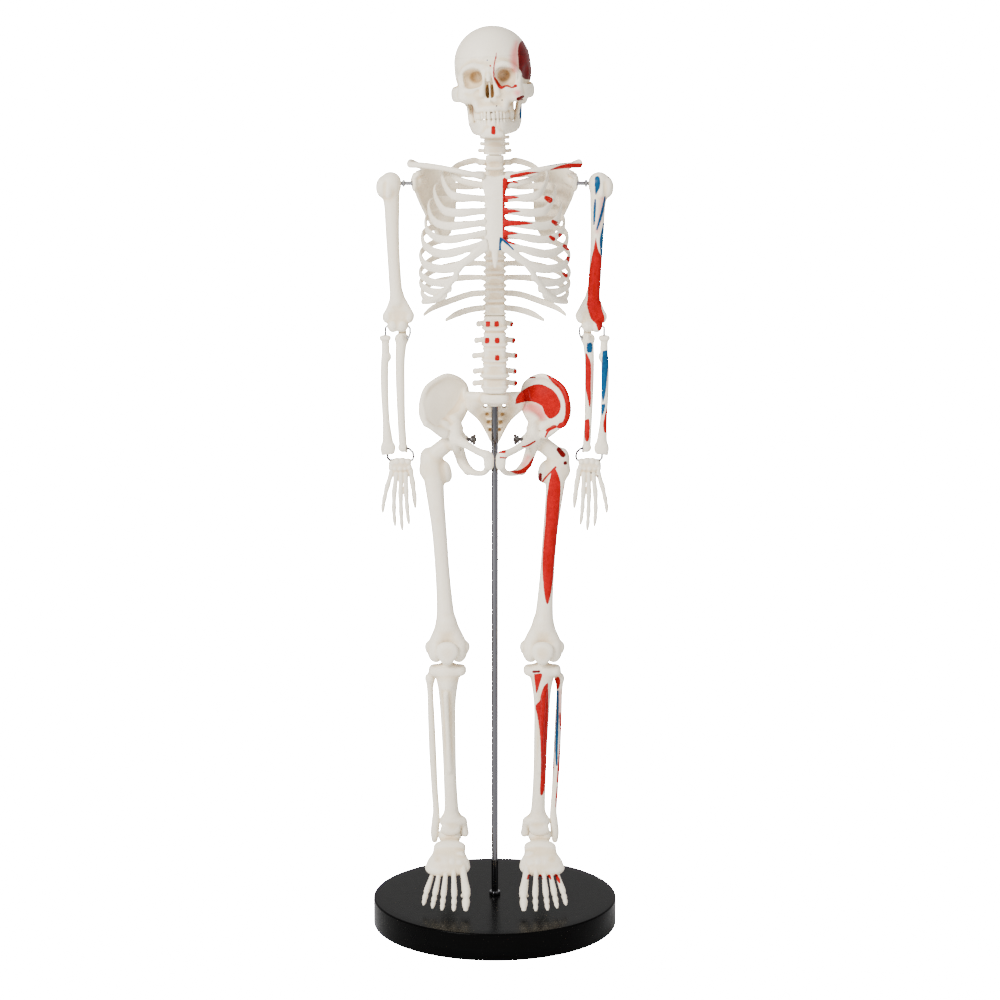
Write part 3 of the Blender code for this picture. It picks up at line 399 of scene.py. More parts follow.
def single(node, bone, paint=None):
    show(node, hollow_share(bone), paint)


def pair(name, bone, paint=None):
    """The left piece, and its mirror image for the right, without the painted marks but with the same
    painted shade.
    """
    shape = hollow_share(bone)
    show(name + "_left", shape, paint)
    show(name + "_right", shape, {k: v for k, v in (paint or {}).items() if k == "deep"}, mirror=True)


# ---------------------------------------------------------------- materials

def new_material(name):
    made = bpy.data.materials.new(name)
    made.use_nodes = True
    return made, made.node_tree.nodes, made.node_tree.links, made.node_tree.nodes["Principled BSDF"]


def bone_material():
    made, nodes, links, shader = new_material("painted_bone_plastic")
    shader.inputs["Subsurface Weight"].default_value = 0.0

    def node(kind, **settings):
        out = nodes.new(kind)
        for key, value in settings.items():
            setattr(out, key, value)
        return out

    def attribute(name):
        return node("ShaderNodeAttribute", attribute_name=name).outputs["Fac"]

    def noise(scale, detail):
        out = node("ShaderNodeTexNoise")
        out.inputs["Scale"].default_value = scale
        out.inputs["Detail"].default_value = detail
        out.inputs["Roughness"].default_value = 0.55
        links.new(place, out.inputs["Vector"])
        return out.outputs["Fac"]

    def sums(kind, a, b):
        out = node("ShaderNodeMath", operation=kind)
        for socket, value in zip(out.inputs, (a, b)):
            if isinstance(value, (int, float)):
                socket.default_value = value
            else:
                links.new(value, socket)
        return out.outputs[0]

    def blend(share, a, b):
        out = node("ShaderNodeMix", data_type="RGBA")
        links.new(share, out.inputs[0])
        for socket, value in zip((out.inputs[6], out.inputs[7]), (a, b)):
            if isinstance(value, tuple):
                socket.default_value = (*value, 1.0)
            else:
                links.new(value, socket)
        return out.outputs[2]

    def ramp(value, low, high):
        out = node("ShaderNodeMapRange", interpolation_type="SMOOTHSTEP")
        out.inputs["From Min"].default_value = low
        out.inputs["From Max"].default_value = high
        links.new(value, out.inputs["Value"])
        return out.outputs["Result"]

    place = node("ShaderNodeTexCoord").outputs["Object"]
    mottle, speckle = noise(55, 4), noise(420, 2)
    # Painted shade and highlight: the hollow measure, raised by the deep marks, darkens the colour in
    # recesses, creases and gaps and lightens it on ridges and edges.
    hollow = sums("ADD", attribute("hollow"), sums("MULTIPLY", sums("SUBTRACT", mottle, 0.5), 0.22))
    hollow = sums("ADD", hollow, sums("MULTIPLY", ramp(attribute("deep"), 3.0, -2.0), 0.62))
    base = blend(ramp(mottle, 0.35, 0.7), (0.86, 0.72, 0.515), (0.80, 0.645, 0.435))
    # painted highlight: a paler ivory on ridges and convex edges
    base = blend(ramp(hollow, -0.30, 0.02), (0.91, 0.82, 0.66), base)
    # painted shade: beige-brown in recesses, dark orange-brown in the deepest hollows
    base = blend(ramp(hollow, 0.12, 0.55), base, (0.68, 0.54, 0.35))
    base = blend(ramp(hollow, 0.45, 1.1), base, (0.38, 0.22, 0.08))
    wobble = sums("MULTIPLY", sums("SUBTRACT", noise(900, 2), 0.5), 1.1)
    streak = ramp(noise(230, 3), 0.3, 0.75)

    def mark(name, soft=0.3):
        return ramp(sums("ADD", attribute(name), wobble), soft, -soft)

    red, blue, maroon, dark = mark("red"), mark("blue"), mark("maroon"), mark("dark", 0.45)
    tint = sums("MULTIPLY", ramp(attribute("tint"), 3.2, -3.2), 0.75)
    # orange-brown painted shade on the inner side of the jaw branches
    orange_shade = sums("MULTIPLY", ramp(attribute("orange_shade"), 1.6, -1.6), 0.85)
    base = blend(orange_shade, base, (0.46, 0.17, 0.045))
    base = blend(tint, base, (0.74, 0.09, 0.10))
    base = blend(red, base, blend(streak, (0.30, 0.0002, 0.001), (0.40, 0.001, 0.003)))
    base = blend(maroon, base, blend(streak, (0.085, 0.0003, 0.001), (0.14, 0.001, 0.002)))
    base = blend(blue, base, blend(streak, (0.002, 0.042, 0.115), (0.004, 0.070, 0.165)))
    base = blend(dark, base, (0.035, 0.022, 0.02))
    links.new(base, shader.inputs["Base Color"])
    covered = sums("MAXIMUM", sums("MAXIMUM", red, blue), maroon)
    rough = sums("ADD", sums("MULTIPLY", speckle, 0.14), 0.38)
    links.new(sums("SUBTRACT", 0.28, sums("MULTIPLY", covered, 0.20)), shader.inputs["Specular IOR Level"])
    links.new(sums("SUBTRACT", rough, sums("MULTIPLY", covered, 0.08)), shader.inputs["Roughness"])
    bump = node("ShaderNodeBump")
    bump.inputs["Strength"].default_value = 0.35
    bump.inputs["Distance"].default_value = 0.00025
    height = sums("ADD", sums("MULTIPLY", speckle, 0.5), noise(150, 4))
    links.new(sums("ADD", height, sums("MULTIPLY", covered, 0.6)), bump.inputs["Height"])
    links.new(bump.outputs["Normal"], shader.inputs["Normal"])
    return made


def worn_material(name, colour, other, rough, metallic, scale, streaks=(1, 1, 1), mirror=0.5):
    """A finish whose colour and gloss vary a little over the surface, with fine wear in its relief."""
    made, nodes, links, shader = new_material(name)
    shader.inputs["Metallic"].default_value = metallic
    shader.inputs["Specular IOR Level"].default_value = mirror
    place = nodes.new("ShaderNodeTexCoord")
    stretch = nodes.new("ShaderNodeMapping")
    stretch.inputs["Scale"].default_value = streaks
    links.new(place.outputs["Object"], stretch.inputs["Vector"])
    broad, fine = nodes.new("ShaderNodeTexNoise"), nodes.new("ShaderNodeTexNoise")
    for noise, size, detail in ((broad, scale, 4), (fine, scale * 16, 3)):
        noise.inputs["Scale"].default_value = size
        noise.inputs["Detail"].default_value = detail
        links.new(stretch.outputs["Vector"], noise.inputs["Vector"])
    mix = nodes.new("ShaderNodeMix")
    mix.data_type = "RGBA"
    mix.inputs[6].default_value, mix.inputs[7].default_value = (*colour, 1), (*other, 1)
    links.new(broad.outputs["Fac"], mix.inputs[0])
    links.new(mix.outputs[2], shader.inputs["Base Color"])
    gloss = nodes.new("ShaderNodeMapRange")
    gloss.inputs["To Min"].default_value, gloss.inputs["To Max"].default_value = rough
    links.new(fine.outputs["Fac"], gloss.inputs["Value"])
    links.new(gloss.outputs["Result"], shader.inputs["Roughness"])
    bump = nodes.new("ShaderNodeBump")
    bump.inputs["Strength"].default_value = 0.3
    bump.inputs["Distance"].default_value = 0.00006
    links.new(fine.outputs["Fac"], bump.inputs["Height"])
    links.new(bump.outputs["Normal"], shader.inputs["Normal"])
    return made


MATERIALS = {
    "bone": bone_material(),
    "black": worn_material("satin_black_lacquer", (0.0006, 0.0006, 0.0007), (0.0014, 0.0013, 0.0013),
                           (0.20, 0.32),
                           0.0, 14, mirror=0.025),
    "chrome": worn_material("polished_chrome", (0.13, 0.13, 0.14), (0.09, 0.09, 0.10), (0.02, 0.06),
                            1.0, 40, (1, 1, 0.2)),
    "steel": worn_material("dull_steel", (0.36, 0.36, 0.37), (0.22, 0.22, 0.23), (0.28, 0.46), 1.0, 160),
    "wire": worn_material("blackened_wire", (0.050, 0.048, 0.046), (0.11, 0.10, 0.095), (0.30, 0.5), 0.85,
                          220),
}


# ---------------------------------------------------------------- skull

HEAD_STEP = 0.55
SAW_LEVEL = 819.0           # in the skull's own upright frame
HEAD_PIVOT = Vector((0, 3, 777))
HEAD_LEAN = Matrix.Rotation(math.radians(-5), 4, "Z") @ Matrix.Rotation(math.radians(-3.4), 4, "Y")
HEAD_POSE = Matrix.Translation(HEAD_PIVOT * MM) @ HEAD_LEAN @ Matrix.Translation(-HEAD_PIVOT * MM)
CRANIUM = (
    ((0, 3, 813), (34.6, 43.5, 33.6)),
    ((0, -12, 812), (30, 30, 31.0)),
    ((0, 24, 805), (27, 23, 24)),
    ((0, 8, 800), (33.2, 34, 22)),
)


def cranium(bone, shrink=0.0, cut=False):
    for i, (centre, radii) in enumerate(CRANIUM):
        bone.ball(centre, np.array(radii) - shrink, blend=8 if i else 0, cut=cut)
    return bone


TEETH = (4.2, 3.3, 3.6, 3.4, 3.3, 4.4)     # widths from the middle tooth to the molars
ARCH_STEP = 0.002                          # radians


def tooth_places(centre, radii):
    """Middle, direction and width of each tooth round half of a dental arch."""
    travelled, angle = 0.0, -math.pi / 2

    def walk(target):
        nonlocal travelled, angle
        while travelled < target:
            angle += ARCH_STEP
            travelled += ARCH_STEP * math.hypot(radii[0] * math.sin(angle), radii[1] * math.cos(angle))
    for width in TEETH:
        target = travelled + width / 2
        walk(target)
        yield (centre[0] + radii[0] * math.cos(angle), centre[1] + radii[1] * math.sin(angle),
               math.degrees(math.atan2(radii[1] * math.cos(angle), -radii[0] * math.sin(angle))), width)
        walk(target + width / 2)


def teeth(bone, arch, level, rise):
    """Teeth of one jaw. rise is +1 when the roots point up."""
    for i, (x, y, turn, width) in enumerate(tooth_places(*arch)):
        tall = 3.1 if i < 3 else 2.7
        deep = 1.5 if i < 3 else 2.3
        for side in (-1, 1):
            bone.ball((side * x, y, level + rise * tall * 0.9), (width / 2 - 0.28, deep, tall),
                      turn=(0, 0, side * turn), power=3.2, blend=0.15)
            bone.bar((side * x, y - 0.4, level + rise * 5), (side * x * 0.98, y + 0.6, level + rise * 9),
                     1.2, 0.6, blend=1.0)


def skull():
    """The whole skull without the jaw, upright, before it is sawn."""
    bone = cranium(Bone(HEAD_STEP))
    bone.ball((0, 12, 783.5), (22, 24, 4.5), blend=4)
    bone.ball((0, -14, 786), (18, 18, 5), blend=4)
    bone.ball((0, -30, 783), (14.0, 12.5, 13), blend=5)
    bone.ball((0, -36, 806), (13, 7, 9), blend=6)
    for s in (-1, 1):
        bone.tube([(s * 3, -41.6, 809.5), (s * 14, -42.3, 812), (s * 22, -38, 808.5), (s * 26, -31, 802)],
                  [2.2, 2.2, 2.5, 2.5], blend=4)
        bone.tube([(s * 26.2, -31, 803), (s * 26.2, -33, 797), (s * 24.5, -36, 790)], [2.5, 2.3, 3.2],
                  blend=2)
        bone.ball((s * 21, -35, 785), (8.4, 6.2, 7.2), blend=4)
        bone.tube([(s * 25, -35, 790), (s * 16, -41.2, 790.6), (s * 7.6, -43, 794)], [2.4, 2.1, 2.0],
                  blend=3)
        bone.tube([(s * 3.2, -43.5, 806), (s * 5.4, -43.3, 797), (s * 7.0, -42.3, 786)], [2.2, 2.2, 2.8],
                  blend=2)
        bone.tube([(s * 15, -38, 788), (s * 13, -37, 779), (s * 11.5, -36, 773)], [3.6, 3.6, 3.6], blend=4)
        bone.ball((s * 13, -26, 784), (7, 10, 9), blend=4)
        bone.ball((s * 27.5, -15, 797), (4, 12, 10), blend=3)
        bone.ball((s * 35.5, -22, 799), (6.5, 13, 12), cut=True, blend=3)
        bone.tube([(s * 24, -36, 787.5), (s * 31, -29, 786.5), (s * 35.4, -17, 786.5), (s * 35.6, -6, 788),
                   (s * 32, 3, 789)], [3.2, 2.7, 2.4, 2.3, 2.3], blend=1.2, squeeze=(1.15, 1, 0.4))
        bone.ball((s * 25.5, 13, 783), (4.8, 6, 9.0), blend=3)
        bone.ball((s * 25.5, 0, 786), (5, 5, 3.6), blend=2)
        bone.ball((s * 8.5, -17, 777), (2.0, 4.5, 8), blend=2)
        bone.ball((s * 14.4, -12, 777.5), (4.4, 3.0, 7.5), blend=2)
        bone.ball((s * 7.5, 2, 779.5), (3.6, 6, 2.8), blend=2)
        bone.bar((s * 31, 5, 786), (s * 36, 4, 786), 1.6, cut=True)
    for centre, radii in CRANIUM:
        bone.ball(centre, np.array(radii) - 2.6, cut=True)
    for s in (-1, 1):
        bone.ball((s * 15, -31, 800.5), (12, 9.5, 11), blend=1)
        bone.ball((s * 10, -37, 787), (5.4, 5, 6.6), blend=2)
        bone.ball((s * 15.3, -12, 769.5), (3.4, 8, 10.5), blend=1.5)
        bone.ball((s * 15.0, -45.0, 800.3), (9.4, 15.2, 8.6), cut=True, blend=0.7, power=3.0,
                  turn=(0, s * 8, 0))
        bone.ball((s * 12.6, -31, 801.4), (5.6, 6.4, 5.2), cut=True, blend=2.0, turn=(0, 0, s * 16))
    bone.tube([(0, -43.2, 808), (0, -44.3, 803), (0, -47.4, 798.5)], [2.6, 2.3, 2.0], blend=1.5)
    bone.ball((0, -29, 790), (6.5, 6, 9.5), blend=1)
    bone.ball((0, -48, 785.6), (4.5, 9, 4.8), cut=True, blend=0.8)
    bone.ball((0, -46, 791.4), (3.1, 10, 6.2), cut=True, blend=0.8)
    for s in (-1, 1):
        bone.ball((s * 2.2, -38, 788), (2.3, 6.6, 6.6), cut=True, blend=0.5)
    bone.bar((0, -42, 781.5), (0, -41.5, 796), 0.6)
    bone.bar((0, -46, 779.8), (0, -43, 780), 1.0, blend=0.8)
    bone.tube([(13.2, -17, 773), (13.0, -27, 773), (9.0, -37.0, 773), (0, -41.4, 773), (-9.0, -37.0, 773),
               (-13.0, -27, 773), (-13.2, -17, 773)], 3.0, blend=2.5, steps=5)
    bone.ball((0, -26, 770.5), (10, 12, 4.0), cut=True, blend=1.5)
    behind = [(12.0, -17, 767.4), (11.4, -26, 767.4), (7.6, -34.5, 767.4), (0, -39.2, 767.4)]
    bone.tube(behind + [(-x, y, z) for x, y, z in behind[-2::-1]], 1.4, blend=0.6, steps=5,
              squeeze=(1, 1, 0.4))
    teeth(bone, ((0, -23), (13.8, 19.5)), 763.7, 1)
    bone.bar((0, 6, 775), (0, 6, 792), 5.0, cut=True, blend=1)
    return bone


def mandible():
    bone = Bone(HEAD_STEP)
    for s in (-1, 1):
        bone.tube([(s * 22.6, -3, 777), (s * 21.6, -4.5, 769), (s * 20.6, -6, 760)], [2.6, 3.0, 3.3],
                  blend=2,
                  squeeze=(0.85, 0.62, 1))
        bone.tube([(s * 23.6, -3, 776), (s * 24.2, -2, 781.4)], [2.2, 2.6], blend=1, squeeze=(1, 1.3, 1))
        bone.tube([(s * 22.8, -10, 771), (s * 23.4, -12.5, 779)], [2.4, 1.0], blend=1.5,
                  squeeze=(1.6, 0.7, 1))
        bone.tube([(s * 20.8, -7, 758), (s * 18.5, -18, 755.5), (s * 14.2, -29, 754.6), (s * 8, -38, 754.2),
                   (0, -41, 754.2)], [3.2, 3.0, 3.1, 3.3, 3.4], blend=2, squeeze=(1.2, 1.2, 0.58))
        bone.tube([(s * 14.3, -18, 760), (s * 12.9, -28, 759.4), (s * 8.4, -36.5, 759.2), (0, -40, 759.2)],
                  2.3,
                  blend=2, steps=5)
        bone.ball((s * 6.6, -41, 749.6), (4.0, 3, 2.6), blend=2)
    bone.ball((0, -42.3, 752.0), (6.5, 3.0, 4.4), blend=3)
    behind = [(11.6, -18, 760.6), (11.0, -26, 760.6), (7.2, -34, 760.6), (0, -38.6, 760.6)]
    bone.tube(behind + [(-x, y, z) for x, y, z in behind[-2::-1]], 1.3, blend=0.6, steps=5,
              squeeze=(1, 1, 0.46))
    teeth(bone, ((0, -23), (13.2, 18.9)), 763.4, -1)
    return bone


def skull_paint():
    line = [(7.4, 819, 0.5), (5.8, 812.5, 0.6), (4.9, 805, 0.6), (5.1, 800, 0.7), (7.5, 794.6, 1.0),
            (10.5, 791.2, 1.4),
            (15.3, 792.4, 0.8), (20.2, 790.8, 0.7), (23.4, 792, 1.5)]
    upper = [(7.4, 817, 0.5), (7.9, 822, 0.35)]
    dots = [dot(x, z, 0.7, -20) for x, z in ((10.6, 780), (5.4, 775), (1.3, 769.5))]
    return {"red": [stroke(line, -20), stroke(upper, -20), dot(2.2, 811, 0.9, -20)],
            "maroon": [ball_field((35.5, -8, 814.5), (10.6, 31, 18.5), power=3)[2],
                       stroke([(25, 780, 1.8), (29, 782, 1.2)], -10)],
            "blue": [dot(-0.5, 816, 0.6, -20)], "dark": dots,
            "tint": [stroke([(25.0, 830, 1.4), (23.2, 818, 3.6), (23.4, 806, 2.4)], -5),
                     dot(24.7, 785.5, 2.6, -10)],
            # deep: painted shade behind the cheek bones, inside the eye sockets and in the nose opening
            "deep": [lump((s * 17, -14, 776), (6, 7, 8)) for s in (-1, 1)]
            + [lump((s * 13.0, -28, 801.4), (6.4, 9, 6.0)) for s in (-1, 1)]
            + [lump((0, -36, 787), (5, 6, 8))]}


def jaw_paint():
    return {"red": [stroke([(1.5, 756, 1.9), (1.5, 752, 2.2)], -30)], "maroon": [dot(25.5, 780, 1.8, 5)],
            "blue": [stroke([(25.0, 772, 0.8), (24.2, 766, 1.3), (23.4, 762, 0.6)], 5)],
            # The next two kinds: orange-brown painted shade on the inner side of each jaw branch, and darker
            # painted shade behind it.
            "orange_shade": [stroke([(s * 18.2, 777, 1.8), (s * 17.4, 767, 1.8)]) for s in (-1, 1)],
            "deep": [lump((s * 16, -8, 768), (2.4, 8, 9)) for s in (-1, 1)]}


def saw(whole, node, side):
    """Half of the sawn skull: side is 1 for what lies above the saw line and -1 for what lies below."""
    bm = bmesh.new()
    bm.from_mesh(whole)
    bmesh.ops.bisect_plane(bm, geom=[*bm.verts, *bm.edges, *bm.faces], dist=1e-7, plane_no=(0, 0, side),
                           plane_co=(0, 0, (SAW_LEVEL + side * 0.05) * MM), clear_inner=True)
    rim = [edge for edge in bm.edges if edge.is_boundary]
    made = bmesh.ops.bridge_loops(bm, edges=rim)["faces"]
    for edge in rim:
        edge.smooth = False
    for face in made:
        face.smooth = False
    bmesh.ops.recalc_face_normals(bm, faces=bm.faces)
    mesh = bpy.data.meshes.new("shape_" + node)
    bm.to_mesh(mesh)
    bm.free()
    mesh.transform(HEAD_POSE)
    obj = bpy.data.objects.new("shape_" + node, mesh)
    bpy.context.scene.collection.objects.link(obj)
    return stand_for(obj, node, "bone")


def head():
    verts, quads, hollow = hollow_share(skull())
    whole = to_mesh("whole_skull", verts, quads, {"hollow": hollow, **painted(verts, skull_paint())})
    saw(whole.data, "skull_cap", 1)
    saw(whole.data, "skull_base", -1)
    bpy.data.objects.remove(whole)
    verts, quads, hollow = hollow_share(mandible())
    jaw = to_mesh("shape_mandible", verts, quads, {"hollow": hollow, **painted(verts, jaw_paint())})
    jaw.data.transform(HEAD_POSE)
    stand_for(jaw, "mandible", "bone")


head()


# ---------------------------------------------------------------- vertebral column

SPINE_LINE = ((782, 3), (757, -1), (735, 3), (690, 14), (640, 18), (600, 10), (560, -2), (532, -5), (512, 0))


def spine_depth(height):
    for (top, near), (bottom, far) in zip(SPINE_LINE, SPINE_LINE[1:]):
        if height >= bottom:
            share = min(1.0, (top - height) / (top - bottom))
            return near + (far - near) * share * share * (3 - 2 * share)
    return SPINE_LINE[-1][1]


def vertebra(bone, z, wide, deep, tall, span, wing, blade, droop, lift=1.0):
    """One vertebra and the disc under it. wide, deep and tall are half sizes of the body, span and wing the
    reach and thickness of its side wings, blade and droop the length and fall of its spinous process."""
    y = spine_depth(z)
    bone.ball((0, y, z), (wide * 0.94, deep * 0.94, tall), power=4, blend=0.6)
    for end in (-1, 1):
        bone.ball((0, y, z + end * (tall - 0.9)), (wide, deep, 1.3), power=3, blend=1.2)
    bone.ball((0, spine_depth(z - tall - 1), z - tall - 0.6), (wide * 0.99, deep * 0.99, 2.4), power=3,
              blend=1.5)
    back = y + deep
    for s in (-1, 1):
        bone.bar((s * wide * 0.62, back - 1.5, z + tall * 0.3), (s * wide * 0.7, back + 3.0, z + tall * 0.2),
                 1.9, 1.9,
                 blend=1)
        bone.ball((s * wide * 0.74, back + 3.4, z + 0.4), (2.3, 2.3, tall + 1.1), blend=1.2)
        bone.tube([(s * wide * 0.7, back + 3, z + lift * 0.6),
                   (s * (wide + span) * 0.55, back + 3.6, z + lift * 0.9),
                   (s * span, back + 4.2, z + lift)], [wing, wing * 0.85, wing], blend=0.8,
                  squeeze=(1, 1.2, 0.9))
        bone.bar((s * wide * 0.7, back + 3.6, z), (0, back + 7.0, z - 1), 1.5, 1.5, blend=1.2,
                 squeeze=(1, 1, 0.6))
    bone.bar((0, back + 6, z - 0.6), (0, back + 7 + blade, z - droop), 1.5, 1.2, blend=0.8,
             squeeze=(1, 1, 0.55))


def cervical_spine():
    bone = Bone(FINE_STEP)
    for i in range(2, 8):
        z = 775.5 - i * 6.15
        vertebra(bone, z, 7.4 + i * 0.2, 5.6, 2.5, 12.2 if i < 7 else 14, 1.9, 4 + (i > 5) * 5, 2.4)
    atlas = 771.0
    y = spine_depth(atlas)
    bone.ball((0, y + 3, atlas), (9.5, 8.5, 2.6), blend=0.5, power=3)
    bone.ball((0, y + 6.5, atlas), (5.2, 4.2, 6), blend=0.5, cut=True)
    for s in (-1, 1):
        bone.ball((s * 8.6, y + 3, atlas + 0.6), (4.0, 5.0, 3.0), blend=1)
        bone.bar((s * 9, y + 3.5, atlas), (s * 14.4, y + 5, atlas), 2.0, 1.7, blend=1)
    bone.tube([(-8, y + 8, atlas), (0, y + 13, atlas), (8, y + 8, atlas)], 1.7, blend=1)
    bone.ball((0, y - 0.5, 768), (4.2, 3.4, 6), blend=1)
    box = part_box("cervical_spine")
    return bone.keep((0, 0, 1), box[1][2] / MM).keep((0, 0, -1), -box[0][2] / MM)


def rib_level(number):
    """Height of a rib where it leaves the column. The gaps widen going down."""
    below = number - 1
    return 722 - 11 * below - 0.1 * below ** 2


def thoracic_spine():
    bone = Bone()
    for number in range(1, 13):
        wide = 8.3 + 0.13 * number
        vertebra(bone, rib_level(number) - 1.2, wide, wide * 0.9, 4.2 + 0.07 * number, 14.5 - 0.4 * number,
                 2.2, 8,
                 7 if 3 < number < 10 else 4)
    bone.ball((0, spine_depth(727), 727.2), (8.6, 7.8, 3.6), power=3, blend=0.8)
    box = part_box("thoracic_spine")
    return bone.keep((0, 0, 1), box[1][2] / MM).keep((0, 0, -1), -box[0][2] / MM)


LUMBAR = ((576.5, 15.4), (561.6, 17.2), (547.4, 19.3), (533.2, 18.6), (521.6, 19))     # level and wing span

WING_DROP = 3.2             # how far the wings sit below the middle of a loin vertebra


def lumbar_spine():
    bone = Bone(MEDIUM_STEP)
    for i, (z, span) in enumerate(LUMBAR):
        vertebra(bone, z, 10.6 + 0.25 * i, 8.8, 5.7, span - 0.4, 2.8, 9, 2, -WING_DROP)
    bone.ball((0, -2, 513), (11, 9, 3), power=3, blend=1)
    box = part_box("lumbar_spine")
    bone.bar((0, 0, 480), (0, 0, 516.2), 3.4, cut=True)
    return bone.keep((0, 0, 1), box[1][2] / MM).keep((0, 0, -1), -box[0][2] / MM)


def lumbar_paint():
    red = [patch([(x0, z + 2.4), (x1, z + 2.4), (x1, z - 2.4), (x0, z - 2.4)], spine_depth(z) - 2) for x0,
           x1, z in
           ((-8.4, -4.6, 575), (-0.4, 3.6, 575), (-9.2, -5.2, 559.6), (0, 4.2, 559.6), (0.2, 4, 543.4))]
    tips = [dot(span + 1.2, EYE[2] - (EYE[2] - z + WING_DROP) * 0.997, 2.4) for z, span in LUMBAR]
    return {"red": red + tips}


def sacrum():
    bone = Bone(MEDIUM_STEP)
    bone.ball((0, 0.5, 505.5), (13.5, 9.5, 5.5), power=3, blend=1)
    bone.sheet([[(-23, 12, 506), (-12, 8, 506), (0, 6, 505), (12, 8, 506), (23, 12, 506)],
                [(-21, 15, 495), (-11, 14, 495), (0, 13, 495), (11, 14, 495), (21, 15, 495)],
                [(-12.6, 18, 484), (-6.5, 18.5, 484), (0, 18.5, 484), (6.5, 18.5, 484), (12.6, 18, 484)],
                [(-7, 21, 473), (-3.5, 22, 473), (0, 22, 473), (3.5, 22, 473), (7, 21, 473)],
                [(-3.6, 22.5, 464), (-1.8, 22.8, 464), (0, 23, 464), (1.8, 22.8, 464), (3.6, 22.5, 464)]],
               [10, 9, 7, 5.5, 4], blend=0, spacing=1.6)
    for s in (-1, 1):
        bone.ball((s * 20, 16, 499), (6.5, 7, 8.5), blend=4)
        bone.bar((s * 17, 12, 502), (s * 23.5, 19, 503), 5.5, 4, blend=4)
        for i, z in enumerate((497, 488.5, 480.5, 473)):
            bone.ball((s * (17.2 - i * 4.2), 15.5 + i * 2.2, z - 2), (2.6, 2.6, 3.0), blend=1)
            bone.ball((s * (8.6 - i * 1.5), 8 + i * 3.6, z), (2.0, 3.2 if i else 12, 1.8), cut=True,
                      blend=1.2)
    for i, z in enumerate((492.6, 484.4, 476.6)):
        bone.tube([(-8 + i, 10.5 + i * 3.2, z), (0, 9.5 + i * 3.2, z), (8 - i, 10.5 + i * 3.2, z)], 1.1,
                  blend=1)
    for i, (y, z) in enumerate(((23.5, 461.5), (23, 457), (21.6, 452.8), (19.4, 449.4))):
        bone.ball((0, y, z), (4.2 - i * 0.7, 2.2 - i * 0.2, 2.4 - i * 0.2), blend=0.8)
    for z, y in ((503, 15), (494, 20.5), (485, 22.5)):
        bone.ball((0, y + 1, z), (1.6, 4, 3.0), blend=2)
    bone.bar((0, 0, 503), (0, 0, 506), 6.2, blend=1.5)
    bone.bar((0, 0, 470), (0, 0, 520), 3.4, cut=True)
    return bone.keep((0, 0, 1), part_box("sacrum_and_coccyx")[1][2] / MM)


# ---------------------------------------------------------------- rib cage

# For each rib: its course from the widest point at the side round to the breastbone or the costal arch.
RIBS = (
    ((20, 14, 724), (32, 6, 721), (39, -8, 717), (39.5, -22, 713), (33, -32, 709.5), (22, -36, 706.5),
     (9, -36.5, 704.5)),
    ((47, -6, 713), (46.4, -25, 706.5), (40, -40, 697), (31, -44, 694.3), (20, -44.5, 693.5),
     (9, -42, 692.5)),
    ((54, -5, 700), (53.3, -22, 692), (46.4, -39, 682.5), (38, -45, 680.5), (28, -48, 680.5),
     (18, -48, 681.5),
     (8.6, -46, 682)),
    ((59.3, -4, 686), (59, -20, 678), (53.8, -34, 671), (44, -43, 668.3), (33.5, -49, 668.8),
     (22, -51, 670.3),
     (8.6, -49.5, 672)),
    ((62.4, -4, 673), (62.3, -20, 664.5), (58.3, -30, 660), (52.3, -38, 657), (44, -45, 656),
     (33.5, -50, 657.2),
     (22, -53, 660), (8.6, -52.5, 662.8)),
    ((65.3, -4, 659), (65.3, -17, 651), (60.4, -29, 646.8), (53.8, -37, 644), (44, -45, 643.4),
     (33.5, -51, 646),
     (22, -54, 649.5), (8, -55, 654.5)),
    ((67.8, -6, 641), (64.5, -22, 632.5), (56.6, -34, 630), (48.4, -42, 629.4), (39.8, -48, 630.4),
     (33.5, -51, 633),
     (26, -53.5, 637.5), (16, -55, 643.5), (7, -55.5, 650)),
    ((68.6, -10, 624), (61.5, -26, 618), (55, -34, 616.5), (48.4, -40, 616.4), (41.5, -45, 618),
     (34, -49.5, 623)),
    ((68.4, -10, 614), (60.5, -27, 608.6), (53.9, -33, 607.7), (46.4, -39, 608.8), (40, -43.5, 612)),
    ((67, -10, 606), (63, -20, 601), (57, -28, 600), (50, -35, 602.5), (44, -40, 606)),
)
# The lower edge of the costal arch, from the foot of the breastbone out to the tenth rib.
COSTAL_ARCH = ((8, -54.5, 652.5), (15, -54.5, 647.5), (23, -53.5, 640.5), (31, -51, 631), (37, -48, 622),
               (43, -43.5, 612.5), (50, -37, 604.5), (58, -28, 599.3), (65.5, -15, 597))
BAND = (6.5, 8.0, 8.2, 7.8, 7.6, 8.6, 8.6, 7.6, 7.4, 7.0)      # height of each rib's band at its widest bend


def sternum_depth(height):
    return -34.5 - 20 * (712 - height) / 64


def rib_path(number):
    front = RIBS[number - 1]
    wide, side_level = front[0][0], front[0][2]
    level = rib_level(number)
    back = spine_depth(level)
    head = [(9.4, back + 6, level + 1), (13.5, back + 10.5, level + 1)]
    if number > 1:
        head += [(wide * 0.48, back + 15, level), (wide * 0.84, back + 8, (level + side_level) / 2 + 1)]
    return head + list(front)


def rib_cage():
    bone = Bone()
    for number in range(1, 11):
        path = rib_path(number)
        full = BAND[number - 1] / 4.76
        ends = [1.2, 1.2, 1.4, 1.4] if number > 1 else [1.2, 1.2]
        front = [full] * len(RIBS[number - 1])
        front[0] = (full + 1.4) / 2
        if number < 8:
            front[-1] = front[-2] = min(full, 1.45)
        bone.tube(path, ends + front, steps=5, squeeze=(1, 1, 0.42))
    bone.tube(COSTAL_ARCH, 2.3, steps=4, blend=1.0, squeeze=(1, 1, 0.85))
    bone.tube([(8.0, sternum_depth(h) - 1, h) for h in (703, 690, 676, 662, 652)], 1.2, blend=0.5)
    return bone


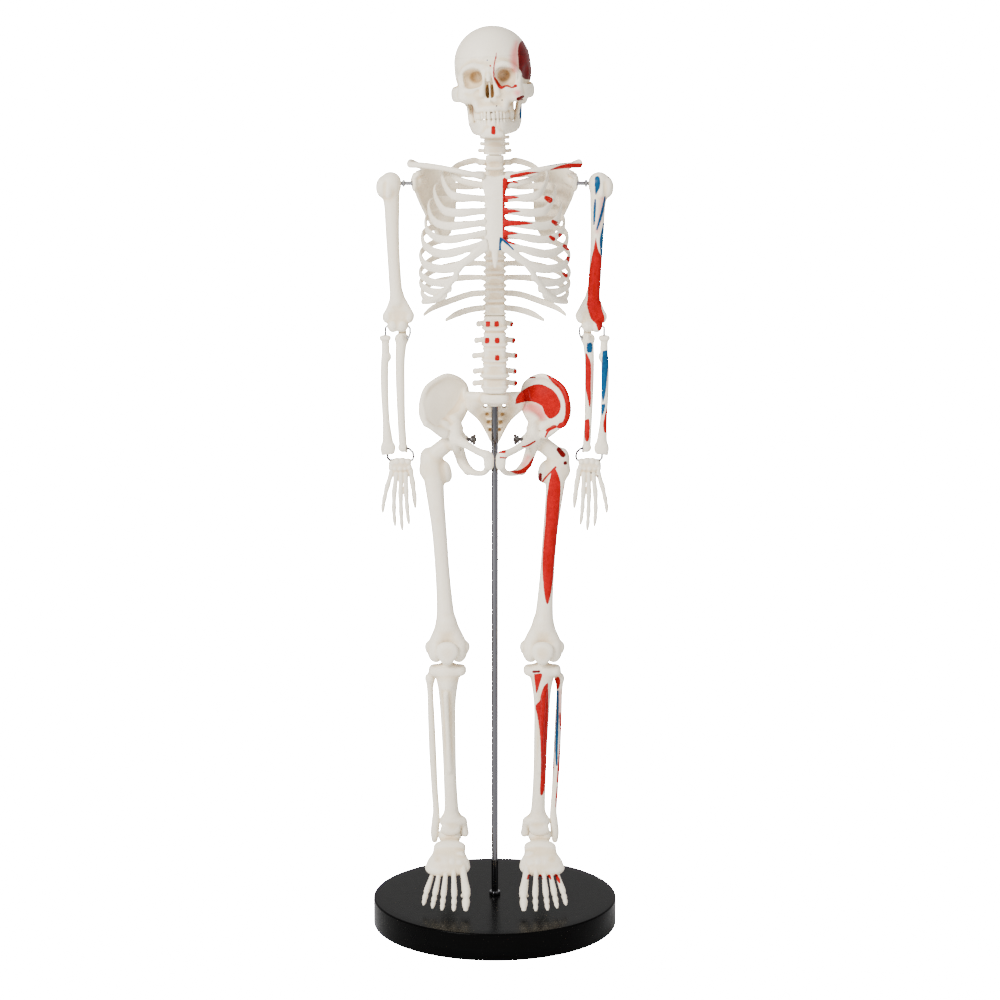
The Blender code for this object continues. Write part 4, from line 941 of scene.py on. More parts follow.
def rib_paint():
    """The chest muscle's mark beside the breastbone, and the spots where a muscle rises from each rib."""
    red = [stroke([(9.5, 706, 2.2), (9.7, 690, 2.6), (9.7, 666, 2.6), (9.7, 654, 2.6), (13, 651, 1.8),
                   (18.4, 648.8, 0.9)]),
           stroke([(9.8, 704.0, 2.4), (14.8, 706.0, 1.6), (21.2, 704.5, 0.6)])]
    red += [stroke([(11, level, thick), ((11 + reach) / 2, level + 0.2, thick * 0.8), (reach, level, 0.5)])
            for level, reach, thick in ((691.3, 22, 2.0), (678.6, 23, 2.0), (667.6, 35, 2.6),
                                        (658.3, 21, 1.8))]
    red += [stroke([(x - w, z + 1, h * 0.8), (x + w, z - 1, h)]) for x, z, w, h in
            ((48.8, 689.9, 1.6, 2.8), (54.8, 668.4, 1.5, 2.2), (52.5, 654.2, 1.4, 2.0),
             (61.0, 656.0, 1.3, 2.2),
             (65.4, 645.9, 1.5, 2.3), (68.5, 634.5, 1.5, 2.4), (64.5, 620.5, 1.2, 1.8))]
    return {"red": red, "blue": [stroke([(6, 653.4, 1.2), (11, 649.5, 1.1), (17.2, 643.5, 0.7)])]}


def floating_rib(number):
    level = rib_level(number)
    back = spine_depth(level)
    tip = {11: (65.5, 0, 583.5), 12: (45.5, 15, 577)}[number]
    flat = (1, 1, 0.42)
    if number == 11:
        path = [(9.6, back + 7, level), (24, back + 12, level - 2), (45, back + 10, level - 9),
                (58, 9, 588.5), tip]
    else:
        path = [(9.6, back + 7, level - 0.5), (22, back + 11, level - 2.5), (35, back + 10, 582.5), tip]
    bone = Bone(FINE_STEP)
    return bone.tube(path, [1.3, 1.4, 1.45, 1.3, 0.9][:len(path) - 1] + [0.85], steps=6, squeeze=flat)


def sternum():
    bone = Bone(FINE_STEP)
    bone.sheet([[(-10.4, -36, 712), (0, -36.5, 711), (10.4, -36, 712)],
                [(-9.6, -38.5, 704), (0, -39.5, 704), (9.6, -38.5, 704)],
                [(-7.2, -41.5, 694), (0, -42.5, 694), (7.2, -41.5, 694)],
                [(-6.9, -45, 682), (0, -46, 682), (6.9, -45, 682)],
                [(-7.1, -49, 669), (0, -50, 669), (7.1, -49, 669)],
                [(-7.3, -52, 657), (0, -53, 657), (7.3, -52, 657)],
                [(-5.2, -53.5, 649), (0, -54.5, 648.5), (5.2, -53.5, 649)]], 3.8, spacing=1.5)
    bone.ball((0, -37, 717.6), (5, 8, 5.2), cut=True, blend=1.5)
    bone.bar((-8, -43.2, 693.5), (8, -43.2, 693.5), 1.4, blend=1.2)
    bone.tube([(0, -54, 650), (0.3, -55, 640), (0.2, -55.5, 632.2)], [2.6, 2.2, 1.0], squeeze=(0.8, 1.5, 1),
              blend=1)
    return bone


def sternum_paint():
    return {"red": [stroke([(9.4, 707, 2.4), (9.6, 690, 2.6), (9.6, 654, 2.6)]),
                    stroke([(9.6, 703.6, 2.2), (14.8, 706, 1.6)])],
            "blue": [stroke([(5.6, 653.4, 1.6), (4.6, 640, 1.2), (3.4, 628, 1.0)]),
                     stroke([(5.4, 653.6, 1.4), (10, 650, 1.2)])]}


# ---------------------------------------------------------------- shoulder and arm

def clavicle():
    bone = Bone(FINE_STEP)
    return bone.tube([(12.6, -38, 713.2), (18, -40, 714), (31, -41, 717), (48, -33.5, 720), (64, -21, 721.5),
                      (77, -11.5, 721.5)], [3.9, 3.1, 2.7, 2.7, 2.9, 3.0], steps=6, squeeze=(1, 0.9, 1.05))


def clavicle_paint():
    return {"red": [stroke([(15.2, 710.4, 1.6), (28, 712.6, 2.0), (40.8, 713.2, 1.2)]),
                    stroke([(52.3, 715.8, 1.6), (60, 718, 2.4), (68.8, 719.6, 2.7), (80, 719.4, 2.8)])],
            "blue": [stroke([(47.8, 720.6, 0.8), (60, 722.8, 1.1), (76, 724.8, 1.0)], 10)],
            "maroon": [stroke([(71, 716.4, 0.6), (78, 716.4, 0.7)])]}


def scapula():
    bone = Bone(MEDIUM_STEP)
    bone.sheet([[(72, 11, 714), (58, 28.5, 718), (46, 35, 717), (38.5, 38, 711)],
                [(72.5, 13, 702), (58, 31, 703), (46, 39, 702), (37.5, 42, 698)],
                [(69.5, 20, 688), (58, 34, 688), (46, 41.5, 687), (37.5, 44, 684)],
                [(61.5, 31, 670), (53, 38.5, 670), (45, 42, 669), (38.5, 44, 668)],
                [(53, 38, 655), (49.5, 41, 655), (45.5, 42.5, 655), (42, 43, 656)]],
               [2.3, 1.9, 1.9, 2.1, 2.8], spacing=1.1)
    bone.tube([(39, 42.5, 702), (50, 40.5, 707), (61, 34.5, 714), (70, 26, 719), (77, 14, 722),
               (78.4, 5, 721.6)],
              [1.0, 1.5, 1.8, 2.2, 2.8, 2.4], steps=5, blend=1.2, squeeze=(1, 1, 0.75))
    bone.ball((73.6, 6, 705), (3.4, 6.5, 9.0), blend=2)
    bone.bar((71.5, 8.5, 706), (66, 17, 706), 5.6, 3.6, blend=2)
    bone.tube([(69, 6, 713), (68, -3, 714.5), (70.5, -9, 712.5), (73, -10.5, 710)], [2.8, 2.3, 2.0, 1.8],
              blend=1.5)
    bone.tube([(73, 12, 700), (69.5, 20, 688), (61.5, 31, 670), (53, 38, 655)], [2.2, 1.9, 1.9, 2.3],
              blend=0.8)
    bone.tube([(38.5, 38, 711), (37, 43, 698), (37, 45, 684), (38.5, 44.5, 668), (44, 43.3, 653.5),
               (51, 39.5, 654.5)],
              [1.5, 1.4, 1.3, 1.4, 1.6, 1.5], blend=0.8)
    return bone.bar((74.5, 3, 704), (90, 3, 704), 2.3, cut=True)


def shoulder_pin():
    """A steel pin with a collar, from the socket of the shoulder blade into the ball of the arm."""
    x, y, z = SHOULDER
    bone = Bone(0.45)
    bone.bar((x - 23.5, y, z), (x - 6, y, z), 1.9)
    return bone.ball((x - 13.4, y, z), (1.3, 3.4, 3.4), power=5)


def humerus():
    x, y, z = SHOULDER
    bone = Bone(MEDIUM_STEP)
    bone.ball((x - 1.5, y, z + 0.3), (10.0, 10.4, 10.2))
    bone.ball((x + 6.2, y - 2, z - 3.5), (5.8, 7.4, 9.6), blend=2.5)
    bone.ball((x + 0.5, y - 8, z - 6), (3.2, 3.0, 6), blend=2)
    bone.bar((x - 30, y, z), (x - 5.4, y, z), 2.4, cut=True)
    bone.bar((x + 3.4, y - 10.5, z + 3), (x + 3.2, y - 9.3, z - 18), 1.2, 0.9, cut=True, blend=1.2)
    bone.tube([(x - 1.0, y, z - 5), (x - 2.4, y, z - 20), (x - 2.8, y + 0.4, z - 42),
               (x - 3.6, y + 0.6, 640),
               (91.8, y + 0.8, 612), (90.4, ELBOW[1], 596)], [9.0, 7.2, 6.4, 5.9, 5.9, 6.4], steps=5,
              blend=3)
    bone.ball((ELBOW[0] + 0.6, ELBOW[1] + 0.3, 588.5), (8.6, 4.4, 9.5), blend=3)
    for s in (-1, 1):
        bone.tube([(ELBOW[0] + 0.8, ELBOW[1], 602), (ELBOW[0] + s * 6.4, ELBOW[1], 590),
                   (ELBOW[0] + s * 10.4, ELBOW[1] + 0.8, 582.4)], [4.2, 4.2, 4.2], blend=3,
                  squeeze=(1, 1.25, 1))
    bone.ball((ELBOW[0] + 0.6, ELBOW[1] + 0.3, 579), (10.5, 4.6, 7.5), blend=2)
    for s, reach in ((-1, 9.6), (1, 10.6)):
        bone.ball((ELBOW[0] + s * reach, ELBOW[1] + 0.8, 580), (4.2, 4.4, 5), blend=2)
    bone.ball((ELBOW[0], ELBOW[1] - 6.0, 583.5), (5.0, 2.8, 4.4), cut=True, blend=2)
    bone.ball((ELBOW[0] - 1, ELBOW[1] + 6.4, 584.5), (4.8, 3.2, 5.2), cut=True, blend=2)
    bone.bar((ELBOW[0] - 2.6, ELBOW[1], 573.2), (ELBOW[0] + 2, ELBOW[1], 573), 6.4, 5.2, blend=1)
    bone.ball((ELBOW[0] + 5.2, ELBOW[1] - 0.4, 573), (5.4, 6.4, 6.4), blend=1)
    for side, edge in ((-1, 9.0), (1, 11.0)):
        bone.bar((ELBOW[0] + side * (edge + 2.4), ELBOW[1], 573), (ELBOW[0] + side * 40, ELBOW[1], 573), 2.4,
                 cut=True)
    return bone


def humerus_paint():
    blue = [stroke([(93.8, 708.4, 2.4), (94.0, 702, 2.6), (92.6, 694.5, 0.7)], 0),
            stroke([(92, 689.2, 0.8), (91.6, 679, 1.3), (91, 667, 0.8)], 1),
            stroke([(101, 691.7, 0.8), (98.8, 680, 1.3), (96.6, 671.6, 1.3), (93.7, 662, 0.8)], 1),
            stroke([(100.6, 667, 1.2), (98.6, 654, 2.2), (98.2, 645, 1.6), (98.3, 638, 0.8)], 3)]
    red = [patch([(92.8, 655.4), (90.8, 644), (88.6, 634), (85.8, 616), (85.6, 600), (85, 592), (88.6, 580),
                  (93.2, 575),
                  (95.4, 569), (98.6, 569), (100.4, 575), (101.4, 581), (98.6, 590), (97.6, 602), (98, 616),
                  (98.6, 634),
                  (95.0, 644)], 4)]
    return {"blue": blue, "red": red, "dark": [dot(104.2, 710, 0.8)],
            "tint": [stroke([(98.6, 690, 1.2), (97, 676, 1.6), (94, 660, 1.0)], 1)]}


SHOULDER = (97.0, 3.0, 704.0)
ELBOW = (89.0, 4.0, 573.0)


def radius_bone():
    bone = Bone(FINE_STEP)
    bone.ball((101.4, 4, 561.4), (5.3, 5.3, 2.7), power=3)
    bone.bar((101.4, 4, 560), (101, 3.6, 551), 3.9, 3.1, blend=1)
    bone.ball((99.6, 3.4, 544), (3.8, 3.6, 4.6), blend=2)
    bone.tube([(101.2, 3.6, 552), (102.2, 2.6, 535), (102.2, 1, 512), (101, -1, 486), (99.6, -3, 467)],
              [3.3, 3.7, 3.6, 3.4, 4.8], steps=5, blend=2)
    bone.ball((99.2, -3.6, 459.4), (6.9, 5.0, 6.8), blend=2, power=2.5)
    bone.bar((104, -4, 459), (104.2, -4.6, 454), 1.9, 1.4, blend=1)
    bone.ball((97.8, -4.4, 451.6), (5.2, 4.4, 1.9), cut=True, blend=0.8)
    bone.bar((99.6, -5.5, 448), (99.6, -4.5, 464.2), 1.5, cut=True)
    return bone.bar((101.2, 4, 575), (101.2, 4, 558.6), 1.5, cut=True)


def ulna():
    bone = Bone(FINE_STEP)
    bone.ball((86.2, 7, 560.5), (6.8, 6.6, 5.6), blend=1)
    bone.tube([(86, 12.4, 560), (86, 14, 568), (86, 13, 574)], [4.2, 3.8, 3.2], blend=2)
    bone.bar((86, -1.5, 563.5), (86, 3, 558), 2.0, 4.0, blend=2)
    bone.tube([(86.6, 5, 558), (87.8, 4, 540), (87.6, 2, 515), (86.8, -0.6, 486), (85.6, -3, 465)],
              [5.2, 4.5, 4.2, 3.7, 3.8], steps=5, blend=2)
    bone.ball((85.4, -3.2, 460), (4.6, 4.4, 4.6), blend=1)
    bone.bar((82.6, -2, 459), (82.2, -2, 456), 1.4, blend=0.8)
    bone.bar((60, 4, 573), (120, 4, 573), 7.1, cut=True, blend=0.6)
    for a, b in zip(((84.2, -3, 463.6), (84.5, 4, 557.6)), ((83.6, -4.2, 459.6), (83, 4, 560.6))):
        bone.bar(a, b, 1.5, cut=True)
    return bone.bar((83, 4, 560.4), (78.6, 4, 562.4), 1.5, cut=True).bar((83.6, -4.2, 460),
                                                                         (78, -5.4, 458.6), 1.5, cut=True)


def radius_paint():
    return {"blue": [patch([(99.6, 549.8), (105.6, 549.8), (105.3, 536), (104, 522), (102.9, 511),
                            (100.4, 502), (98.8, 511),
                            (98.6, 524), (99, 536)], 3),
                     patch([(99.0, 500), (102.6, 500), (101.2, 492), (99.2, 490)])],
            "red": [stroke([(104.8, 497, 0.7), (103.6, 488, 1.8), (102.8, 481, 2.1), (103.2, 475, 1.9)])],
            "dark": [stroke([(105.8, 556, 0.5), (105.6, 546, 0.5), (105.4, 540, 0.3)])]}


def ulna_paint():
    return {"blue": [patch([(85.2, 557.2), (89.9, 557.2), (89.9, 549), (85.2, 549)])],
            "red": [stroke([(84.6, 547.3, 0.7), (86.4, 537, 2.7), (86.4, 518, 2.7), (87.6, 507, 1.8),
                            (88.2, 498, 0.7)]),
                    patch([(83.6, 485.3), (87.9, 485.3), (87.9, 467), (83.7, 467)])],
            "dark": [stroke([(92.4, 556.5, 0.5), (92.8, 550, 0.7), (92.2, 544, 0.4)])],
            "tint": [stroke([(90.4, 538, 0.5), (90.2, 515, 0.5)])]}


# Joints of each finger from the wrist to the tip.
FINGERS = (
    ((95.6, -5.5, 438), (100.4, -7.6, 423), (103.0, -7.0, 411.5), (104.2, -5.5, 404.5), (104.6, -3.6, 398)),
    ((91.4, -6.5, 437), (93.6, -9.4, 418), (94.0, -9.0, 402.5), (93.6, -7.0, 393), (93.0, -4.6, 385.4)),
    ((87.2, -6.5, 437), (87.6, -9.6, 416.5), (87.2, -9.0, 399), (86.8, -7.0, 388.8), (86.3, -4.4, 381.4)),
    ((83.0, -6.5, 437), (82.4, -9.4, 418), (81.6, -9.0, 403), (80.8, -7.0, 394), (80.0, -4.6, 387)),
    ((78.8, -5.0, 440), (76.4, -5.0, 426), (75.0, -3.6, 414), (74.2, -0.6, 402)),
)


def hand():
    bone = Bone(0.5)
    bone.ball((88.4, -4.6, 443.4), (10.6, 3.5, 7.0), power=2.5)
    for x, z, size in ((80.6, 447.0, 3.2), (85.6, 447.4, 3.4), (90.8, 447.2, 3.4), (95.2, 445.6, 3.0),
                       (79.8, 441.4, 3.0),
                       (83.6, 440.8, 3.0), (88.0, 440.8, 3.4), (92.6, 440.4, 3.0), (96.4, 440.6, 2.6)):
        bone.ball((x, -5.2, z), (size, size * 1.15, size), blend=0.6)
    for digit, joints in enumerate(FINGERS):
        thumb = digit == 4
        for i, (a, b) in enumerate(zip(joints, joints[1:])):
            last = i == len(joints) - 2
            a, b = np.array(a), np.array(b)
            size = (2.8, 2.5, 2.2, 1.9)[i] * (1.08 if thumb else 1.0)
            gap = (b - a) / np.linalg.norm(b - a) * size * 0.5
            start, end = a + gap, b - gap
            bone.tube([start, (start + end) / 2, end], [size, size * 0.8, size * (0.5 if last else 0.95)],
                      steps=5,
                      blend=0.3)
        for spot in joints[1:-1]:
            bone.ball(spot, 1.35, blend=0.5)
    return bone.bar((60, -5.5, 448.5), (75.6, -5.5, 448.5), 1.5, cut=True)


def hand_paint():
    return {"dark": [dot(x, z, r) for x, z, r in ((89.9, 435.4, 0.8), (96.0, 432.4, 0.8), (94.4, 436, 0.5))]}


# ---------------------------------------------------------------- pelvis and leg

HIP = (37.0, 0.0, 467.0)
KNEE = (44.5, -14.0, 268.0)
ANKLE = (43.0, 6.0, 83.0)
FOOT_DROP = math.radians(10)


def hip_bone():
    bone = Bone(MEDIUM_STEP)
    bone.sheet([[(26.5, 25, 503), (30, 17, 490), (36, 8, 480), (43, 0, 473)],
                [(28, 25, 512), (36, 17, 499), (43, 5, 487), (49, -9, 475)],
                [(31, 23, 519), (43, 14.5, 507), (51, 1, 494), (54, -15, 478.5)],
                [(36, 19, 522.5), (52, 11, 512.5), (59.5, -1.5, 501), (58.5, -18.5, 481)],
                [(42, 15, 524), (58.5, 7.5, 517), (67, -2, 506), (63.4, -20.4, 485)]],
               [5.5, 3.0, 2.4, 2.6, 3.0],
               spacing=1.4)
    bone.tube([(27, 27.5, 505), (27.5, 26.5, 513), (31, 23, 518.5), (38, 17, 523.5), (46, 12.5, 525),
               (56, 8, 520.5),
               (64, 3, 513.5), (68, -4, 501), (67.6, -13, 491), (63.6, -20, 484.5)],
              [3.0, 2.6, 2.3, 2.3, 2.5, 2.5, 2.7, 2.6, 2.5, 2.7], steps=5, blend=1.5)
    bone.tube([(63.4, -20.4, 485), (57, -18.5, 480), (53, -15.5, 477.5), (47, -12, 474)], [2.6, 2.6, 3.6, 5],
              blend=2,
              steps=4)
    bone.ball((36, 0, 469), (8.5, 15, 15.5), blend=3)
    bone.ball((47.5, -4, 477.5), (7.5, 5.5, 8), blend=3)
    bone.tube([(38, 3, 484), (33, 12, 489), (28.5, 20, 497)], [6.5, 5.0, 5.0], blend=4)
    bone.ball((27.8, 24, 504), (3.6, 6, 8), blend=3)
    bone.tube([(37, -9, 469), (28, -20, 466), (17, -29, 461), (8, -34.5, 458)], [6.5, 4.0, 3.5, 4.0],
              steps=4, blend=2.5)
    bone.ball((5.6, -34, 452), (4.8, 4.2, 8.6), blend=2.5, power=2.5)
    bone.tube([(35, 9, 459), (32.4, 14, 450), (29.6, 14, 442), (25, 11, 436.4)], [6.0, 5.4, 5.2, 4.4],
              steps=4,
              blend=2.5)
    bone.tube([(25, 11, 436), (17, -2, 435.5), (10, -20, 439), (5.8, -30, 446)], [4.2, 2.9, 2.7, 3.4],
              steps=4,
              blend=2.5)
    bone.tube([(31, 11, 467), (27, 18, 466), (24.5, 21, 464)], [4.5, 2.4, 1.3], blend=2)
    bone.ball(HIP, 12.3, cut=True, blend=0.4)
    bone.bar(HIP, (HIP[0] + 24, HIP[1], HIP[2]), 12.3, 15.6, cut=True, blend=0.4)
    bone.bar((10, 0, 467), (44, 0, 467), 2.2, cut=True)
    bone.keep((-1, 0, 0), -1.0)
    return bone


FOSSA = ((18.8, 499.8), (20.6, 507.8), (28.3, 514.9), (38.2, 518.8), (46, 517.8), (54.6, 512.7),
         (59.6, 505.6),
         (61.4, 498.4), (59.7, 492), (55.4, 487.7), (50.4, 486.6), (46.1, 492), (43.9, 497.8), (38.3, 501.3),
         (31.2, 502.7), (24.1, 501.3))         # outline of the mark inside the blade of the hip bone


def hip_paint():
    """Marks of the muscles that fill the blade of the hip bone and follow its rim."""
    rim = [(47.5, 527.4), (56, 527), (66, 519), (73, 508), (75, 498), (74, 488), (69, 479), (58.2, 477.5),
           (59.5, 482),
           (63.2, 484.4), (65.3, 492), (64.5, 503.5), (60.2, 513.5), (53.8, 519.9)]
    strokes = [[(49, 475.5, 1.6), (54.7, 478.7, 1.9), (57, 479, 1.2)], [(49.4, 475, 1.4), (46.9, 469, 0.7)],
               [(25.3, 459.9, 0.7), (31, 461.4, 1.0), (37.6, 465.4, 0.8)],
               [(2, 455.2, 0.9), (9, 455.4, 1.5)],
               [(5, 450, 0.8), (11.4, 449.5, 0.6)],
               [(36.6, 448.8, 1.8), (32.2, 441.6, 2.5), (26.4, 437.4, 2.4), (20.6, 436, 1.8),
                (15.6, 437.4, 1.1)]]
    return {"red": [patch(FOSSA), patch(rim)] + [stroke(line) for line in strokes],
            "tint": [stroke([(29, 497, 4), (38, 496, 5), (44, 489, 4)]),
                     stroke([(31, 450, 2.4), (27, 443, 2.4)])],
            "maroon": [stroke([(32, 524.8, 0.8), (37.3, 525.3, 0.8)])]}


def femur():
    x, y, z = HIP
    bone = Bone()
    bone.ball(HIP, 10.9)
    bone.bar((x + 6, y, z - 3), (55, 1.5, 454), 7.4, 7.8, blend=2)
    bone.ball((62.6, 4, 449), (7.2, 8.6, 9.8), blend=3)
    bone.ball((62.8, 4, 438), (8.0, 7.8, 9.6), blend=3)
    bone.ball((49, 4, 436), (8.6, 7, 11), blend=5)
    bone.ball((44.4, 6.5, 431), (4.2, 5, 5.5), blend=4)
    bone.tube([(59, 3, 446), (57, 1.2, 430), (54.8, -0.8, 408), (51.8, -2.6, 380), (49.2, -5.6, 345),
               (47, -10, 315), (45.6, -13, 292)], [9.6, 9.4, 8.0, 7.0, 6.8, 7.6, 9.6], steps=5, blend=3)
    for s in (-1, 1):
        bone.ball((KNEE[0] + s * 10.8, KNEE[1] + 1.4, KNEE[2] + 0.4), (8.0, 11.6, 11.0), blend=2.5)
        bone.bar((45, -12.6, 296), (KNEE[0] + s * 9.6, KNEE[1] + 0.6, KNEE[2] + 7), 8.4, 8.6, blend=3)
        bone.ball((KNEE[0] + s * 17.6, KNEE[1] + 2, KNEE[2] + 4), (3.6, 5.4, 5.4), blend=2)
    bone.ball((KNEE[0], KNEE[1] + 2, KNEE[2] + 15), (11.5, 9, 9.5), blend=2)
    bone.ball((KNEE[0], KNEE[1] - 12.5, KNEE[2] + 8), (5, 3.0, 12), cut=True, blend=2.5)
    bone.ball((KNEE[0], KNEE[1], KNEE[2] - 3.6), (3.0, 14.5, 11.4), cut=True, blend=0.6, power=6)
    return bone


def femur_paint():
    """The marks along the front of the thigh bone."""
    front = [(56.6, 440), (60.6, 430), (61.6, 422), (60.8, 406), (59.2, 385), (57.6, 369), (56, 352),
             (54.2, 330),
             (51.6, 315), (49.4, 310), (47.4, 315), (45.4, 330), (44.6, 347), (45.6, 369), (47.4, 390),
             (48.6, 413),
             (52.2, 434)]
    return {"red": [patch(front, 1), stroke([(56.8, 441, 1.0), (50, 434, 0.9), (44.6, 427.5, 1.0)]),
                    stroke([(65.4, 424, 0.8), (61.8, 402, 0.6)])],
            "maroon": [stroke([(59.5, 457.6, 2.2), (63.5, 452.6, 2.6)]), dot(65.6, 444.8, 1.9),
                       stroke([(42.6, 434, 1.6), (42.2, 429, 1.9)])],
            "tint": [stroke([(47, 402, 0.6), (45, 372, 0.8), (43.8, 346, 0.6)], 1)]}


def patella():
    x, y, z = KNEE
    bone = Bone(FINE_STEP)
    bone.ball((x, y - 12.4, z + 2.8), (10.4, 4.4, 9.2), power=2.3)
    bone.ball((x, y - 12.6, z - 4.6), (5.6, 3.2, 5.8), blend=3)
    return bone


def tibia():
    x, y, z = KNEE
    bone = Bone(MEDIUM_STEP)
    for s in (-1, 1):
        bone.ball((x + s * 8.8, y + 2.6, z - 18.4), (9.0, 10.4, 5.6), blend=2, power=2.6)
        bone.ball((x + s * 9, y + 3, z - 12.2), (7.4, 8.6, 2.4), cut=True, blend=1)
    bone.ball((x, y - 5.4, z - 29), (5.2, 4.4, 8), blend=3)
    bone.tube([(x, y + 2, z - 21), (x - 0.2, y + 1.4, z - 34), (44.4, -9, 215), (43.6, -5.6, 185),
               (42.6, -1, 145),
               (41.4, 3, 112), (41.2, 4.4, 102)], [12, 9.4, 7.6, 6.7, 6.2, 6.8, 8.6], steps=5, blend=3)
    bone.bar((x + 1.5, y - 8.5, z - 40), (42.8, -7.4, 150), 2.4, 1.6, blend=3)
    bone.ball((40.4, 5, 97.6), (12.4, 9.2, 6.6), blend=3, power=2.4)
    bone.bar((31, 4.4, 97), (28.4, 4.6, 85.6), 4.6, 3.8, blend=2)
    bone.ball((42.4, -1.6, 91), (9.8, 3.6, 6.2), blend=2)
    bone.bar((x, y, z - 12), (x, y, z), 4.0, 4.0, blend=0.5, squeeze=(1.7, 1, 1))
    for s in (-1, 1):
        bone.ball((x + s * 17, y, z), (14.2, 13.0, 13.0), cut=True, blend=0.5, power=7)
    bone.bar((42.6, ANKLE[1], ANKLE[2]), (80, ANKLE[1], ANKLE[2]), 8.8, cut=True, blend=0.3)
    return bone


def tibia_paint():
    outer = [(50.4, 235), (46.4, 231), (43.6, 223), (42.4, 217), (38.4, 212), (39.8, 204), (41.8, 192),
             (43, 178), (43.6, 160),
             (43.6, 145), (43, 126), (46.2, 126), (48.6, 140), (49.6, 160), (50.6, 190), (50.8, 215)]
    inner = [(37, 243), (44.6, 243), (43, 235), (39.6, 224), (38, 232)]
    return {"red": [patch(outer), patch(inner)], "maroon": [stroke([(36.4, 245, 1.2), (41.6, 245.4, 1.4)])],
            "tint": [stroke([(48, 160, 1.4), (47, 130, 1.0)])]}


def fibula():
    bone = Bone(FINE_STEP)
    bone.ball((61, -4, 240), (4.9, 5.2, 5.2))
    bone.bar((61, -3, 243), (61.6, -2, 246.4), 2.2, 1.2, blend=1)
    bone.tube([(61, -4, 238), (61, -2.4, 226), (60.2, 1, 200), (59, 3.6, 165), (57.4, 5.6, 130),
               (56, 6, 108),
               (56.4, 6, 98), (57.4, 6.4, 86), (57.6, 6.8, 78.4)],
              [4.2, 3.0, 3.3, 3.5, 3.2, 3.3, 4.0, 4.1, 3.0], steps=5,
              blend=1.5)
    return bone


def fibula_paint():
    """Three narrow stripes run down the bone."""
    return {"red": [patch([(56.2, 238), (60, 240.5), (62, 236), (60.6, 229), (57.6, 229)]),
                    stroke([(61.8, 205, 0.8), (62.4, 180, 0.9), (61.4, 154, 1.6), (60.6, 138, 1.7)]),
                    stroke([(60.8, 132, 1.9), (59.6, 124, 1.6), (58.2, 113, 0.6)]),
                    stroke([(56.8, 226, 0.7), (56.4, 200, 0.8), (55.4, 170, 0.7), (55.8, 150, 0.5)])],
            "blue": [stroke([(59.6, 226, 1.1), (59.4, 200, 1.3), (58.6, 170, 1.4), (58.8, 154, 0.9)])],
            "dark": [stroke([(61.2, 246, 0.8), (63.4, 243.4, 0.9)])],
            "tint": [stroke([(61.4, 226, 1.0), (61.6, 200, 1.0)])]}


# Joints of each ray of the foot, from its middle to the tip, measured from the ankle axis.
TOES = (
    ((-11, -23, -13.5), (-16.2, -58, -30), (-15.9, -71, -35.2), (-15.8, -81.5, -38)),
    ((-3.4, -24, -12.2), (-4.9, -60, -30.5), (-4.8, -70, -34.6), (-4.7, -76, -36.6), (-4.6, -82, -38)),
    ((2.2, -23, -13.4), (5, -58.5, -31), (5.7, -68, -34.8), (6.1, -74, -36.8), (6.4, -79.5, -38)),
    ((7.6, -22, -16.2), (12.8, -54.5, -32), (14.2, -64, -35.2), (14.9, -69.5, -37), (15.4, -74.5, -38)),
    ((12.6, -19, -20), (21, -49.5, -32.6), (22.6, -58.5, -35.6), (23.3, -63.8, -37), (23.8, -68.5, -38)),
)


def tilted(place):
    spin = np.array(Matrix.Rotation(FOOT_DROP, 3, "X"))
    return spin @ np.array(place, float) + np.array(ANKLE)


def foot():
    bone = Bone(0.55)

    def lump(centre, radii, blend=0.8):
        bone.ball(tilted(centre), radii, blend=blend, turn=(math.degrees(FOOT_DROP), 0, 0), power=2.3)
    axis = tilted((0, 0, 0))
    bone.bar(axis - (3.4, 0, 0), axis + (3.4, 0, 0), 7.8, blend=1)
    lump((0, -6, -6), (8.0, 9.5, 6.2), 2)
    lump((0, -13, -5.6), (15.0, 6.6, 6.2), 3)
    lump((0.5, -14, -9.5), (13, 9, 6.8), 3)
    bone.tube([tilted((1.5, -2, -15)), tilted((2, 10, -18)), tilted((2.5, 21, -22))], [6.8, 7.2, 7.6],
              blend=2.5)
    lump((2.5, 25.5, -22.5), (6.6, 5.2, 8.6), 2)
    lump((1, -22, -13.8), (17, 9, 7), 4)
    lump((1.6, -27, -16.8), (18.5, 9, 6.4), 4)
    lump((2.2, -31, -21), (19, 8.4, 5.2), 4)
    for x, y, z, wide in ((-9, -22, -11, 6), (7.6, -19, -15, 6), (-8.6, -30, -16, 4.6),
                          (-2.2, -30, -14.6, 3.4),
                          (4, -30, -16, 3.6), (12, -27, -20, 5)):
        lump((x, y, z), (wide, 4.6, 5.2), 1)
    for ray, joints in enumerate(TOES):
        big = ray == 0
        for i, (a, b) in enumerate(zip(joints, joints[1:])):
            last = i == len(joints) - 2
            a, b = tilted(a), tilted(b)
            size = (4.3, 4.0, 3.5)[i] if big else (3.0, 2.8, 2.4, 2.1)[i]
            gap = (b - a) / np.linalg.norm(b - a) * size * 0.45
            start, end = a + gap, b - gap
            bone.tube([start, (start + end) / 2, end], [size, size * 0.72, size * (0.6 if last else 0.95)],
                      steps=5,
                      blend=0.4)
        for spot in joints[1:-1]:
            bone.ball(tilted(spot), 2.4 if big else 1.6, blend=0.8)
    for s in (-1, 1):
        bone.ball(tilted((-15.4 + s * 2.6, -57, -34.4)), (1.9, 2.8, 1.8), blend=0.6)
    return bone.keep((0, -0.045, -1), -29.0)


